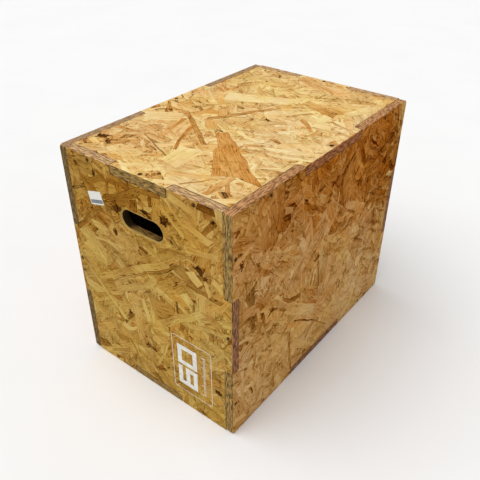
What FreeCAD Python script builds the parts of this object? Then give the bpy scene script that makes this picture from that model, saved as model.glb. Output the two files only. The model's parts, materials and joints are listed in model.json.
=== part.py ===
import FreeCAD, Part
import math
import os

import Sketcher

# A wooden jump box: six strand-board panels with finger joints, a brace across the middle and sunk screws.
# Millimetres, +Z up, origin in the middle of the footprint, handle face towards -Y.

SIZES = [
    ("box_width", 400, "across the handle face"),
    ("box_depth", 600, "from the handle face to the back"),
    ("box_height", 500, "as it stands on the bottom panel"),
    ("board", 18, "thickness of every board"),
    ("width_finger", 133, "middle finger along the width"),
    ("depth_finger", 200, "middle finger along the depth"),
    ("height_finger", 167, "middle finger along the height"),
    ("joint_gap", 0.5, "play at each side of a finger"),
    ("cutter_radius", 5, "router radius left in the inner corners"),
    ("corner_radius", 7, "rounded corners of the side panels"),
    ("edge_ease", 1.2, "bevel on the outer edges of the box"),
    ("handle_length", 100, "hand slot, end to end"),
    ("handle_height", 38, "hand slot, top to bottom"),
    ("handle_drop", 97, "top of the box to the middle of the slot"),
    ("handle_round", 3, "rounded rim of the slot, outside"),
    ("handle_bevel", 1.5, "bevelled rim of the slot, inside"),
    ("screw_length", 45, "head to point"),
    ("screw_head", 8, "head diameter"),
    ("screw_shank", 4, "shank diameter"),
    ("screw_point", 6, "length of the point"),
    ("screw_tip", 0.6, "diameter of the blunt tip"),
    ("head_rim", 0.5, "straight rim of the head"),
    ("screw_sink", 1, "head below the face"),
    ("screw_clearance", 0.1, "room round the screw in its hole"),
    ("pilot_extra", 2, "pilot hole past the point"),
    ("groove_depth", 5, "grooves for the brace in the side panels"),
    ("groove_clearance", 0.2, "room round the brace in its groove"),
]

doc = FreeCAD.newDocument("plyo_box")
sheet = doc.addObject("Spreadsheet::Sheet", "sizes")
for row, (alias, value, note) in enumerate(SIZES, 1):
    sheet.set(f"A{row}", note)
    sheet.set(f"B{row}", str(value))
    sheet.setAlias(f"B{row}", alias)
doc.recompute()

# Screws and their holes have this many flat sides.
FACETS = 6

BOARD = "sizes.board"
HALF_BOARD = "sizes.board / 2"

# Half sizes of the box, and the same to the inner faces of its walls.
HALF = {
    "width": "sizes.box_width / 2",
    "depth": "sizes.box_depth / 2",
    "height": "sizes.box_height / 2",
}
INNER = {way: f"({half} - sizes.board)" for way, half in HALF.items()}

# Each middle finger is half a gap short on both sides, and its notch half a gap wide.
TAB = {way: f"(sizes.{way}_finger - sizes.joint_gap) / 2" for way in HALF}
NOTCH = {way: f"(sizes.{way}_finger + sizes.joint_gap) / 2" for way in HALF}

# Middle of a finger: across the board it lies in, and along the edge it sits on.
MIDDLE_OF_WALL = {way: f"({half} - sizes.board / 2)" for way, half in HALF.items()}
CORNER_FINGER = {way: f"(({NOTCH[way]} + {half}) / 2)" for way, half in HALF.items()}
INNER_FINGER = f"(({NOTCH['width']} + {INNER['width']}) / 2)"

RELIEF = "(sizes.cutter_radius + sizes.joint_gap)"
HEAD_TOP = "(sizes.board - sizes.screw_sink)"


def amount(expression):
    """Value of an expression, in millimetres."""
    return float(sheet.evalExpression(expression))


def bind(thing, path, expression):
    """Tie a property of an object to the sheet."""
    thing.setExpression(path, expression)


def origin_plane(body, role):
    """One of a body's own origin planes."""
    return next(plane for plane in body.Origin.OriginFeatures if plane.Role == role)


def new_body(label):
    """An empty body that carries a sub-part's name."""
    body = doc.addObject("PartDesign::Body", label)
    body.Label = label
    return body


def new_sketch(body, name, role="XY_Plane", offset=None):
    """A sketch on an origin plane, moved by expressions along the plane's own axes."""
    sketch = body.newObject("Sketcher::SketchObject", name)
    sketch.AttachmentSupport = [(origin_plane(body, role), "")]
    sketch.MapMode = "FlatFace"
    for axis, expression in (offset or {}).items():
        bind(sketch, f"AttachmentOffset.Base.{axis}", expression)
    return sketch


def dimension(sketch, kind, *where):
    """A driving dimension: its last argument is the expression that gives its value."""
    *points, expression = where
    index = sketch.addConstraint(Sketcher.Constraint(kind, *points, amount(expression)))
    bind(sketch, f"Constraints[{index}]", expression)


def chain(sketch, lines):
    """Join lines end to start into a closed outline that begins at the sketch's origin."""
    for line, following in zip(lines, lines[1:] + lines[:1]):
        sketch.addConstraint(Sketcher.Constraint("Coincident", line, 2, following, 1))
    sketch.addConstraint(Sketcher.Constraint("Coincident", lines[0], 1, -1, 1))


def draw_lines(sketch, corners):
    """Straight edges through corners given as pairs of expressions."""
    points = [FreeCAD.Vector(amount(across), amount(up), 0) for across, up in corners]
    ends = points[1:] + points[:1]
    return [sketch.addGeometry(Part.LineSegment(*pair), False) for pair in zip(points, ends)]


def stepped_outline(sketch, corners):
    """Outline of level and upright edges from the origin through the corners and back."""
    corners = [("0", "0")] + corners
    lines = draw_lines(sketch, corners)
    chain(sketch, lines)
    last = len(lines) - 1
    for number, line in enumerate(lines):
        level = corners[number][1] == corners[(number + 1) % len(corners)][1]
        sketch.addConstraint(Sketcher.Constraint("Horizontal" if level else "Vertical", line))
        if number in (0, last):
            continue
        if level:
            dimension(sketch, "DistanceY", -1, 1, line, 1, corners[number][1])
        else:
            dimension(sketch, "DistanceX", -1, 1, line, 1, corners[number][0])


def feature(body, kind, name, **settings):
    """A PartDesign feature with its settings; strings are expressions from the sheet."""
    made = body.newObject(f"PartDesign::{kind}", name)
    for key, setting in settings.items():
        if isinstance(setting, str) and key in ("Length", "Radius", "Size"):
            bind(made, key, setting)
        else:
            setattr(made, key, setting)
    doc.recompute()
    return made


def cut(body, kind, name, **settings):
    """A feature that has to take material away."""
    before = body.Tip.Shape.Volume
    made = feature(body, kind, name, **settings)
    if made.Shape.Volume >= before:
        raise RuntimeError(f"{body.Label}: {name} cuts nothing")
    return made


def edge_names(shape, wanted):
    """Names of the edges that a test picks."""
    return [f"Edge{number}" for number, edge in enumerate(shape.Edges, 1) if wanted(edge)]


def dress_edges(body, kind, name, wanted, **size):
    """Fillet or chamfer the edges of the body's tip that a test picks."""
    tip = body.Tip
    names = edge_names(tip.Shape, wanted)
    if not names:
        raise RuntimeError(f"{body.Label}: {name} finds no edge")
    return feature(body, kind, name, Base=(tip, names), **size)


def near(value, target):
    """True for two lengths that are the same."""
    return abs(value - target) < 1e-4


def runs_through_board(edge):
    """True for an edge square to the faces of the board, from one to the other."""
    box = edge.BoundBox
    return near(box.ZLength, amount(BOARD)) and near(box.XLength + box.YLength, 0)


def at(edge, places):
    """True where a square edge stands at one of the places."""
    middle = edge.BoundBox.Center
    return any(near(middle.x, x) and near(middle.y, y) for x, y in places)


def relieve(body, name, role, end, side, inward):
    """Round the inner-face corner of a finger's side, so it clears the router radius it fits against.

    end is the outer end of the finger, side the place of its side along the edge,
    and inward is +1 where the finger's wood lies beyond that side, or -1 where it lies before it.
    The cut starts a joint's gap before the side, which trims the router radius at the finger's own root.
    """
    upright = role == "XZ_Plane"
    sketch = new_sketch(body, f"{name}_sketch", role, {"z": f"-({end})" if upright else end})
    before = f"({side} - ({inward}) * sizes.joint_gap)"
    radius = amount(RELIEF)
    foot = FreeCAD.Vector(amount(before), 0, 0)
    toe = FreeCAD.Vector(amount(side) + inward * radius, 0, 0)
    shoulder = FreeCAD.Vector(amount(side), radius, 0)
    head = FreeCAD.Vector(foot.x, radius, 0)
    sweep = (math.pi, 1.5 * math.pi) if inward > 0 else (1.5 * math.pi, 2 * math.pi)
    circle = Part.Circle(FreeCAD.Vector(toe.x, radius, 0), FreeCAD.Vector(0, 0, 1), radius)
    floor = sketch.addGeometry(Part.LineSegment(foot, toe), False)
    arc = sketch.addGeometry(Part.ArcOfCircle(circle, *sweep), False)
    shelf = sketch.addGeometry(Part.LineSegment(shoulder, head), False)
    wall = sketch.addGeometry(Part.LineSegment(head, foot), False)
    arc_at_floor, arc_at_shelf = (2, 1) if inward > 0 else (1, 2)
    sketch.addConstraint(Sketcher.Constraint("Coincident", floor, 2, arc, arc_at_floor))
    sketch.addConstraint(Sketcher.Constraint("Coincident", arc, arc_at_shelf, shelf, 1))
    sketch.addConstraint(Sketcher.Constraint("Coincident", shelf, 2, wall, 1))
    sketch.addConstraint(Sketcher.Constraint("Coincident", wall, 2, floor, 1))
    sketch.addConstraint(Sketcher.Constraint("Vertical", arc, 3, floor, 2))
    sketch.addConstraint(Sketcher.Constraint("Horizontal", arc, 3, shelf, 1))
    sketch.addConstraint(Sketcher.Constraint("Horizontal", shelf))
    sketch.addConstraint(Sketcher.Constraint("Vertical", wall))
    sketch.addConstraint(Sketcher.Constraint("Horizontal", floor))
    sketch.addConstraint(Sketcher.Constraint("PointOnObject", floor, 1, -1))
    dimension(sketch, "DistanceX", -1, 1, floor, 1, before)
    dimension(sketch, "DistanceX", -1, 1, shelf, 1, side)
    dimension(sketch, "Radius", arc, RELIEF)
    cut(body, "Pocket", name, Profile=sketch, Length=BOARD, Reversed=upright)


def facet_ring(body, name, role, centre, radius):
    """Regular polygon on a plane, with the sketch's origin moved to its centre."""
    sketch = new_sketch(body, name, role, dict(zip("xyz", centre)))
    corner = amount(radius)
    turn = 2 * math.pi / FACETS
    angles = [turn * (number - 0.5) for number in range(FACETS)]
    points = [FreeCAD.Vector(corner * math.cos(a), corner * math.sin(a), 0) for a in angles]
    sides = [
        sketch.addGeometry(Part.LineSegment(start, end), False)
        for start, end in zip(points, points[1:] + points[:1])
    ]
    round_line = Part.Circle(FreeCAD.Vector(0, 0, 0), FreeCAD.Vector(0, 0, 1), corner)
    circle = sketch.addGeometry(round_line, True)
    sketch.addConstraint(Sketcher.Constraint("Coincident", circle, 3, -1, 1))
    for side, following in zip(sides, sides[1:] + sides[:1]):
        sketch.addConstraint(Sketcher.Constraint("Coincident", side, 2, following, 1))
        sketch.addConstraint(Sketcher.Constraint("PointOnObject", side, 1, circle))
    for side in sides[1:]:
        sketch.addConstraint(Sketcher.Constraint("Equal", sides[0], side))
    sketch.addConstraint(Sketcher.Constraint("Vertical", sides[0]))
    dimension(sketch, "Radius", circle, radius)
    return sketch


def faceted_rings(body, name, place, profile):
    """Rings of a faceted shape that stands on the board at a place, from pairs of radius and height."""
    across, up = place
    return [
        facet_ring(body, f"{name}_ring_{number}", "XY_Plane", (across, up, height), radius)
        for number, (radius, height) in enumerate(profile)
    ]


def head_profile(room):
    """Radii and heights from the shank to the top of a countersunk head, with room all round."""
    shank = f"(sizes.screw_shank / 2 + {room})"
    head = f"(sizes.screw_head / 2 + {room})"
    rim = f"({HEAD_TOP} - sizes.head_rim)"
    cone = f"({rim} - ({head} - {shank}))"
    return shank, head, rim, cone


def screw_hole(body, name, place):
    """Countersunk clearance hole through a finger."""
    shank, head, rim, cone = head_profile("sizes.screw_clearance")
    rings = faceted_rings(body, name, place, [(shank, "0"), (shank, cone), (head, rim), (head, BOARD)])
    cut(body, "SubtractiveLoft", name, Profile=rings[0], Sections=rings[1:], Ruled=True)


def pilot_hole(body, name, role, face, along):
    """Blind hole into the edge of a board, for the point of a screw from the neighbouring board."""
    upright = role == "XZ_Plane"
    centre = (along, HALF_BOARD, f"-({face})" if upright else face)
    ring = facet_ring(body, f"{name}_ring", role, centre, head_profile("sizes.screw_clearance")[0])
    depth = "sizes.screw_length - sizes.board + sizes.screw_sink + sizes.pilot_extra"
    cut(body, "Pocket", name, Profile=ring, Length=depth, Reversed=upright)


def mirrored(body, name, role, **settings):
    """Repeat features, or the whole body, across one of the body's middle planes."""
    copy = feature(body, "Mirrored", name, MirrorPlane=(origin_plane(body, role), [""]), **settings)
    body.Tip = copy
    doc.recompute()
    return copy


def mirror_both_ways(body):
    """Make the whole of the quarter that has been modelled."""
    for role in ("YZ_Plane", "XZ_Plane"):
        before = body.Tip.Shape.Volume
        name = f"{body.Label}_whole_{role[:2].lower()}"
        copy = mirrored(body, name, role, TransformMode="Whole shape")
        if not math.isclose(copy.Shape.Volume, 2 * before, rel_tol=1e-6):
            raise RuntimeError(f"{body.Label}: a mirrored half is missing")


# The three kinds of board. Each is described in its own plane by a quarter outline, from the middle
# of one edge round the corner to the middle of the next, with its screws and its pilot holes.
# "ways" are the box directions along the board, "tabbed" tells which edges carry a middle finger.

BOARDS = {
    "side": {
        "ways": ("depth", "height"),
        "tabbed": (False, False),
        "outline": [
            (INNER["depth"], "0"),
            (INNER["depth"], NOTCH["height"]),
            (HALF["depth"], NOTCH["height"]),
            (HALF["depth"], HALF["height"]),
            (NOTCH["depth"], HALF["height"]),
            (NOTCH["depth"], INNER["height"]),
            ("0", INNER["height"]),
        ],
        "screws": [
            (CORNER_FINGER["depth"], MIDDLE_OF_WALL["height"]),
            (MIDDLE_OF_WALL["depth"], CORNER_FINGER["height"]),
        ],
        "pilots": ("0", "0"),
    },
    "end": {
        "ways": ("width", "height"),
        "tabbed": (True, False),
        "outline": [
            (HALF["width"], "0"),
            (HALF["width"], TAB["height"]),
            (INNER["width"], TAB["height"]),
            (INNER["width"], HALF["height"]),
            (NOTCH["width"], HALF["height"]),
            (NOTCH["width"], INNER["height"]),
            ("0", INNER["height"]),
        ],
        "screws": [
            (INNER_FINGER, MIDDLE_OF_WALL["height"]),
            (MIDDLE_OF_WALL["width"], "0"),
        ],
        "pilots": (CORNER_FINGER["height"], "0"),
    },
    "lid": {
        "ways": ("width", "depth"),
        "tabbed": (True, True),
        "outline": [
            (HALF["width"], "0"),
            (HALF["width"], TAB["depth"]),
            (INNER["width"], TAB["depth"]),
            (INNER["width"], INNER["depth"]),
            (TAB["width"], INNER["depth"]),
            (TAB["width"], HALF["depth"]),
            ("0", HALF["depth"]),
        ],
        "screws": [
            ("0", MIDDLE_OF_WALL["depth"]),
            (MIDDLE_OF_WALL["width"], "0"),
        ],
        "pilots": (CORNER_FINGER["depth"], INNER_FINGER),
    },
}


def finger_sides(board):
    """Places of the finger sides along the second and the first direction of a board."""
    first, second = board["ways"]
    first_tab, second_tab = board["tabbed"]
    on_first_edge = TAB[second] if first_tab else NOTCH[second]
    on_second_edge = TAB[first] if second_tab else NOTCH[first]
    return on_first_edge, on_second_edge


def panel(label, kind):
    """A board with fingers, rounded inner corners, relieved finger sides and screw holes."""
    board = BOARDS[kind]
    first, second = board["ways"]
    first_tab, second_tab = board["tabbed"]
    on_first_edge, on_second_edge = finger_sides(board)
    body = new_body(label)
    sketch = new_sketch(body, f"{label}_outline")
    stepped_outline(sketch, board["outline"])
    feature(body, "Pad", f"{label}_board", Profile=sketch, Length=BOARD)

    roots = [
        (amount(INNER[first]), amount(on_first_edge)),
        (amount(on_second_edge), amount(INNER[second])),
    ]
    dress_edges(
        body,
        "Fillet",
        f"{label}_router_corners",
        lambda edge: runs_through_board(edge) and at(edge, roots),
        Radius="sizes.cutter_radius",
    )
    relieve(body, f"{label}_relief_a", "YZ_Plane", HALF[first], on_first_edge, -1 if first_tab else 1)
    relieve(body, f"{label}_relief_b", "XZ_Plane", HALF[second], on_second_edge, -1 if second_tab else 1)
    for number, place in enumerate(board["screws"]):
        screw_hole(body, f"{label}_screw_hole_{number}", place)
    on_first, on_second = board["pilots"]
    pilot_hole(body, f"{label}_pilot_a", "YZ_Plane", INNER[first], on_first)
    pilot_hole(body, f"{label}_pilot_b", "XZ_Plane", INNER[second], on_second)
    if kind == "side":
        brace_groove(body)
    mirror_both_ways(body)
    if kind == "side":
        round_panel_corners(body)
    if kind == "end":
        hand_slot(body)
    ease_outer_edges(body, board)
    return body


def brace_groove(body):
    """Quarter of the groove on the inner face that the brace slides into."""
    sketch = new_sketch(body, f"{body.Label}_groove_sketch")
    half = "(sizes.board / 2 + sizes.groove_clearance)"
    stepped_outline(sketch, [(half, "0"), (half, INNER["height"]), ("0", INNER["height"])])
    cut(body, "Pocket", f"{body.Label}_groove", Profile=sketch, Length="sizes.groove_depth", Reversed=True)


def round_panel_corners(body):
    """Rounded corners of a side panel, seen square to its face."""
    corner = (amount(HALF["depth"]), amount(HALF["height"]))
    places = [(x * corner[0], y * corner[1]) for x in (-1, 1) for y in (-1, 1)]
    dress_edges(
        body,
        "Fillet",
        f"{body.Label}_corners",
        lambda edge: runs_through_board(edge) and at(edge, places),
        Radius="sizes.corner_radius",
    )


def hand_slot(body):
    """Hand slot with round ends, its rim rounded on the outer face and bevelled on the inner one."""
    sketch = new_sketch(body, f"{body.Label}_slot_sketch")
    reach = "(sizes.handle_length - sizes.handle_height) / 2"
    radius = "sizes.handle_height / 2"
    height = f"({HALF['height']} - sizes.handle_drop)"
    middle = FreeCAD.Vector(amount(reach), amount(height), 0)
    other = FreeCAD.Vector(-middle.x, middle.y, 0)
    rise = FreeCAD.Vector(0, amount(radius), 0)
    normal = FreeCAD.Vector(0, 0, 1)
    quarter = math.pi / 2
    right = sketch.addGeometry(
        Part.ArcOfCircle(Part.Circle(middle, normal, rise.y), -quarter, quarter), False
    )
    top = sketch.addGeometry(Part.LineSegment(middle + rise, other + rise), False)
    left = sketch.addGeometry(
        Part.ArcOfCircle(Part.Circle(other, normal, rise.y), quarter, 3 * quarter), False
    )
    bottom = sketch.addGeometry(Part.LineSegment(other - rise, middle - rise), False)
    ring = [right, top, left, bottom]
    for piece, following in zip(ring, ring[1:] + ring[:1]):
        sketch.addConstraint(Sketcher.Constraint("Tangent", piece, 2, following, 1))
    sketch.addConstraint(Sketcher.Constraint("Symmetric", right, 3, left, 3, -2))
    dimension(sketch, "DistanceX", -1, 1, right, 3, reach)
    dimension(sketch, "DistanceY", -1, 1, right, 3, height)
    dimension(sketch, "Radius", right, radius)
    cut(body, "Pocket", f"{body.Label}_slot", Profile=sketch, Length=BOARD, Reversed=True)

    slack = 1e-3
    low = (-amount("sizes.handle_length / 2") - slack, middle.y - rise.y - slack)
    high = (-low[0], middle.y + rise.y + slack)

    def on_rim(edge, face):
        box = edge.BoundBox
        inside = low[0] < box.XMin and box.XMax < high[0] and low[1] < box.YMin and box.YMax < high[1]
        return inside and near(box.ZMin, face) and near(box.ZMax, face)

    dress_edges(
        body,
        "Chamfer",
        f"{body.Label}_slot_inner_rim",
        lambda edge: on_rim(edge, 0),
        Size="sizes.handle_bevel",
    )
    dress_edges(
        body,
        "Fillet",
        f"{body.Label}_slot_rim",
        lambda edge: on_rim(edge, amount(BOARD)),
        Radius="sizes.handle_round",
    )


def ease_outer_edges(body, board):
    """Bevel the edges of the outer face where they are edges of the whole box."""
    limits = [amount(HALF[way]) for way in board["ways"]]

    def outermost(point):
        return near(abs(point.x), limits[0]) or near(abs(point.y), limits[1])

    def on_box_edge(edge):
        box = edge.BoundBox
        on_face = near(box.ZMin, amount(BOARD)) and near(box.ZLength, 0)
        if not on_face or len(edge.Vertexes) != 2:
            return False
        middle = edge.valueAt((edge.FirstParameter + edge.LastParameter) / 2)
        corner = isinstance(edge.Curve, Part.Circle)
        return all(outermost(end.Point) for end in edge.Vertexes) and (corner or outermost(middle))

    dress_edges(body, "Chamfer", f"{body.Label}_eased", on_box_edge, Size="sizes.edge_ease")


def screws(label, kind):
    """The countersunk screws that hold one panel."""
    body = new_body(label)
    body.AllowCompound = True
    places = BOARDS[kind]["screws"]
    off_middle = [place for place in places if "0" not in place]
    for number, place in enumerate(off_middle):
        screw(body, f"{label}_{number}", place)
    if off_middle:
        mirror_both_ways(body)
    for number, place in enumerate(places, 1):
        if place in off_middle:
            continue
        role = "YZ_Plane" if place[1] == "0" else "XZ_Plane"
        one = screw(body, f"{label}_middle_{number}", place)
        mirrored(body, f"{label}_pair_{number}", role, Originals=one)
    return body


def screw(body, name, place):
    """One countersunk screw, faceted, as the features that make it."""
    shank, head, rim, cone = head_profile("0")
    tip = f"({HEAD_TOP} - sizes.screw_length)"
    point = f"({tip} + sizes.screw_point)"
    profile = [("sizes.screw_tip / 2", tip), (shank, point), (shank, cone), (head, rim), (head, HEAD_TOP)]
    rings = faceted_rings(body, name, place, profile)
    return [feature(body, "AdditiveLoft", f"{name}_loft", Profile=rings[0], Sections=rings[1:], Ruled=True)]


def brace(label):
    """Board across the middle of the box, let into the grooves of the side panels."""
    body = new_body(label)
    sketch = new_sketch(body, f"{label}_outline")
    half_width = f"({INNER['width']} + sizes.groove_depth - sizes.groove_clearance)"
    corners = [(half_width, "0"), (half_width, INNER["height"]), ("0", INNER["height"])]
    stepped_outline(sketch, corners)
    feature(body, "Pad", f"{label}_board", Profile=sketch, Length=BOARD)
    mirror_both_ways(body)
    return body


def place(body, turns, **base):
    """Turn a body about axes in order, then move it by expressions."""
    rotation = FreeCAD.Rotation()
    for axis, angle in turns:
        rotation = FreeCAD.Rotation(FreeCAD.Vector(*axis), angle).multiply(rotation)
    body.Placement = FreeCAD.Placement(FreeCAD.Vector(0, 0, 0), rotation)
    for axis, expression in base.items():
        bind(body, f"Placement.Base.{axis}", expression)


STAND_UP = ((1, 0, 0), 90)
FACE_RIGHT = ((1, 1, 1), 120)
TURN_ROUND = ((0, 0, 1), 180)
TURN_OVER = ((1, 0, 0), 180)

# Panel name, kind of board, turns that bring it to its place, and the place of its inner face.
PANELS = [
    ("top_panel", "lid", [], {"z": "sizes.box_height - sizes.board"}),
    ("bottom_panel", "lid", [TURN_OVER], {"z": BOARD}),
    ("front_panel", "end", [STAND_UP], {"y": f"-{INNER['depth']}", "z": HALF["height"]}),
    ("back_panel", "end", [STAND_UP, TURN_ROUND], {"y": INNER["depth"], "z": HALF["height"]}),
    ("right_panel", "side", [FACE_RIGHT], {"x": INNER["width"], "z": HALF["height"]}),
    ("left_panel", "side", [FACE_RIGHT, TURN_ROUND], {"x": f"-{INNER['width']}", "z": HALF["height"]}),
]

SCREWS_PER_KIND = {"lid": 4, "end": 6, "side": 8}

solids = {}
for label, kind, turns, base in PANELS:
    board = panel(label, kind)
    place(board, turns, **base)
    solids[board] = 1
    fasteners = screws(f"{label}_screws", kind)
    place(fasteners, turns, **base)
    solids[fasteners] = SCREWS_PER_KIND[kind]

middle_board = brace("center_brace")
place(middle_board, [STAND_UP], y=HALF_BOARD, z=HALF["height"])
solids[middle_board] = 1
doc.recompute()

for thing in doc.Objects:
    if "Invalid" in thing.State or "Error" in thing.State:
        raise RuntimeError(f"{thing.Label} is {thing.State}")
for body, count in solids.items():
    shape = body.Shape
    if shape.isNull() or not shape.isValid() or len(shape.Solids) != count:
        raise RuntimeError(f"{body.Label} has {len(shape.Solids)} solids, valid {shape.isValid()}")

os.makedirs("parts", exist_ok=True)
for body in solids:
    body.Shape.exportStep(f"parts/{body.Label}.step")
    box = body.Shape.BoundBox
    print(f"{body.Label}: {len(body.Shape.Solids)} solids, {body.Shape.Volume / 1000:.1f} cm3, "
          f"{box.XLength:.1f} x {box.YLength:.1f} x {box.ZLength:.1f} mm")
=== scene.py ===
"""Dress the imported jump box: strand-board panels, screws, a blank sticker, a height mark and a white stage."""
import functools
import json
import math
import random
from typing import NamedTuple

import bmesh
import bpy
from mathutils import Matrix, Vector, kdtree
from mathutils import noise as smooth_noise


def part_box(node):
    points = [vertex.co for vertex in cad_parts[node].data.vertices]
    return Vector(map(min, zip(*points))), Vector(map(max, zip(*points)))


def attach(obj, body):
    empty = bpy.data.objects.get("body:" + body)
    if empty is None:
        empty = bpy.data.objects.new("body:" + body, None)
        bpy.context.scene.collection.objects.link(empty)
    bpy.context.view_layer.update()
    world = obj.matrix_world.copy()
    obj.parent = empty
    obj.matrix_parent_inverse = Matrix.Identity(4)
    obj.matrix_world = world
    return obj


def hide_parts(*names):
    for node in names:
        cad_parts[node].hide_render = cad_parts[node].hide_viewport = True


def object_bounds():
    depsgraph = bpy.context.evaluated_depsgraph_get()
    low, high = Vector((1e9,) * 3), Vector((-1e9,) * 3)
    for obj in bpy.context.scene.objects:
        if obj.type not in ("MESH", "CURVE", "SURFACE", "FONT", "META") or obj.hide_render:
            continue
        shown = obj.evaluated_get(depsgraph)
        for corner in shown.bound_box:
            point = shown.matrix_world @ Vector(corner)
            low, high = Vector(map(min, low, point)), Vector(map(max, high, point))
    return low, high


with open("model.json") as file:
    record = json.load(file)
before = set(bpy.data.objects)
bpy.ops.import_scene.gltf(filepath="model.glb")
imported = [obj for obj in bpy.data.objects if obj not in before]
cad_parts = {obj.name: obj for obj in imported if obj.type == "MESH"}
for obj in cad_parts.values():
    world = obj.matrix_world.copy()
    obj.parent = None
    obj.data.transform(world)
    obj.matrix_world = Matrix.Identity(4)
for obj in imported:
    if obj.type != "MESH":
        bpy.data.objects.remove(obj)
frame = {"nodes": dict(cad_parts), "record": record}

bl_info = {
    "name": "Jump box",
    "version": (1, 0, 0),
    "blender": (4, 5, 0),
    "location": "3D View > Sidebar > Jump box",
    "description": "Strand-board panels, screws, a sticker, a height mark and a stage for the jump box",
    "category": "Object",
}

CAD_LOW, CAD_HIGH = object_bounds()
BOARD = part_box("top_panel")[1].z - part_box("top_panel")[0].z
MM = 0.001
SLOT_BOX = frame["record"]["physics"]["openings"][0]["box_m"]
SLOT_REACH = 0.065


def length(name, description, default):
    """A size in metres."""
    return bpy.props.FloatProperty(name=name, description=description, default=default, unit="LENGTH", precision=4)


def share(name, description, default):
    """A number from 0 to 1."""
    return bpy.props.FloatProperty(
        name=name, description=description, default=default, min=0, max=1, subtype="FACTOR"
    )


def turn(name, description, degrees):
    """An angle."""
    return bpy.props.FloatProperty(
        name=name, description=description, default=math.radians(degrees), subtype="ANGLE"
    )


def colour(name, description, default):
    """A colour."""
    return bpy.props.FloatVectorProperty(
        name=name, description=description, default=default, size=3, min=0, max=1, subtype="COLOR"
    )


def place(name, description, default):
    """A point in the room."""
    return bpy.props.FloatVectorProperty(
        name=name, description=description, default=default, size=3, subtype="XYZ", unit="LENGTH"
    )


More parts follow.
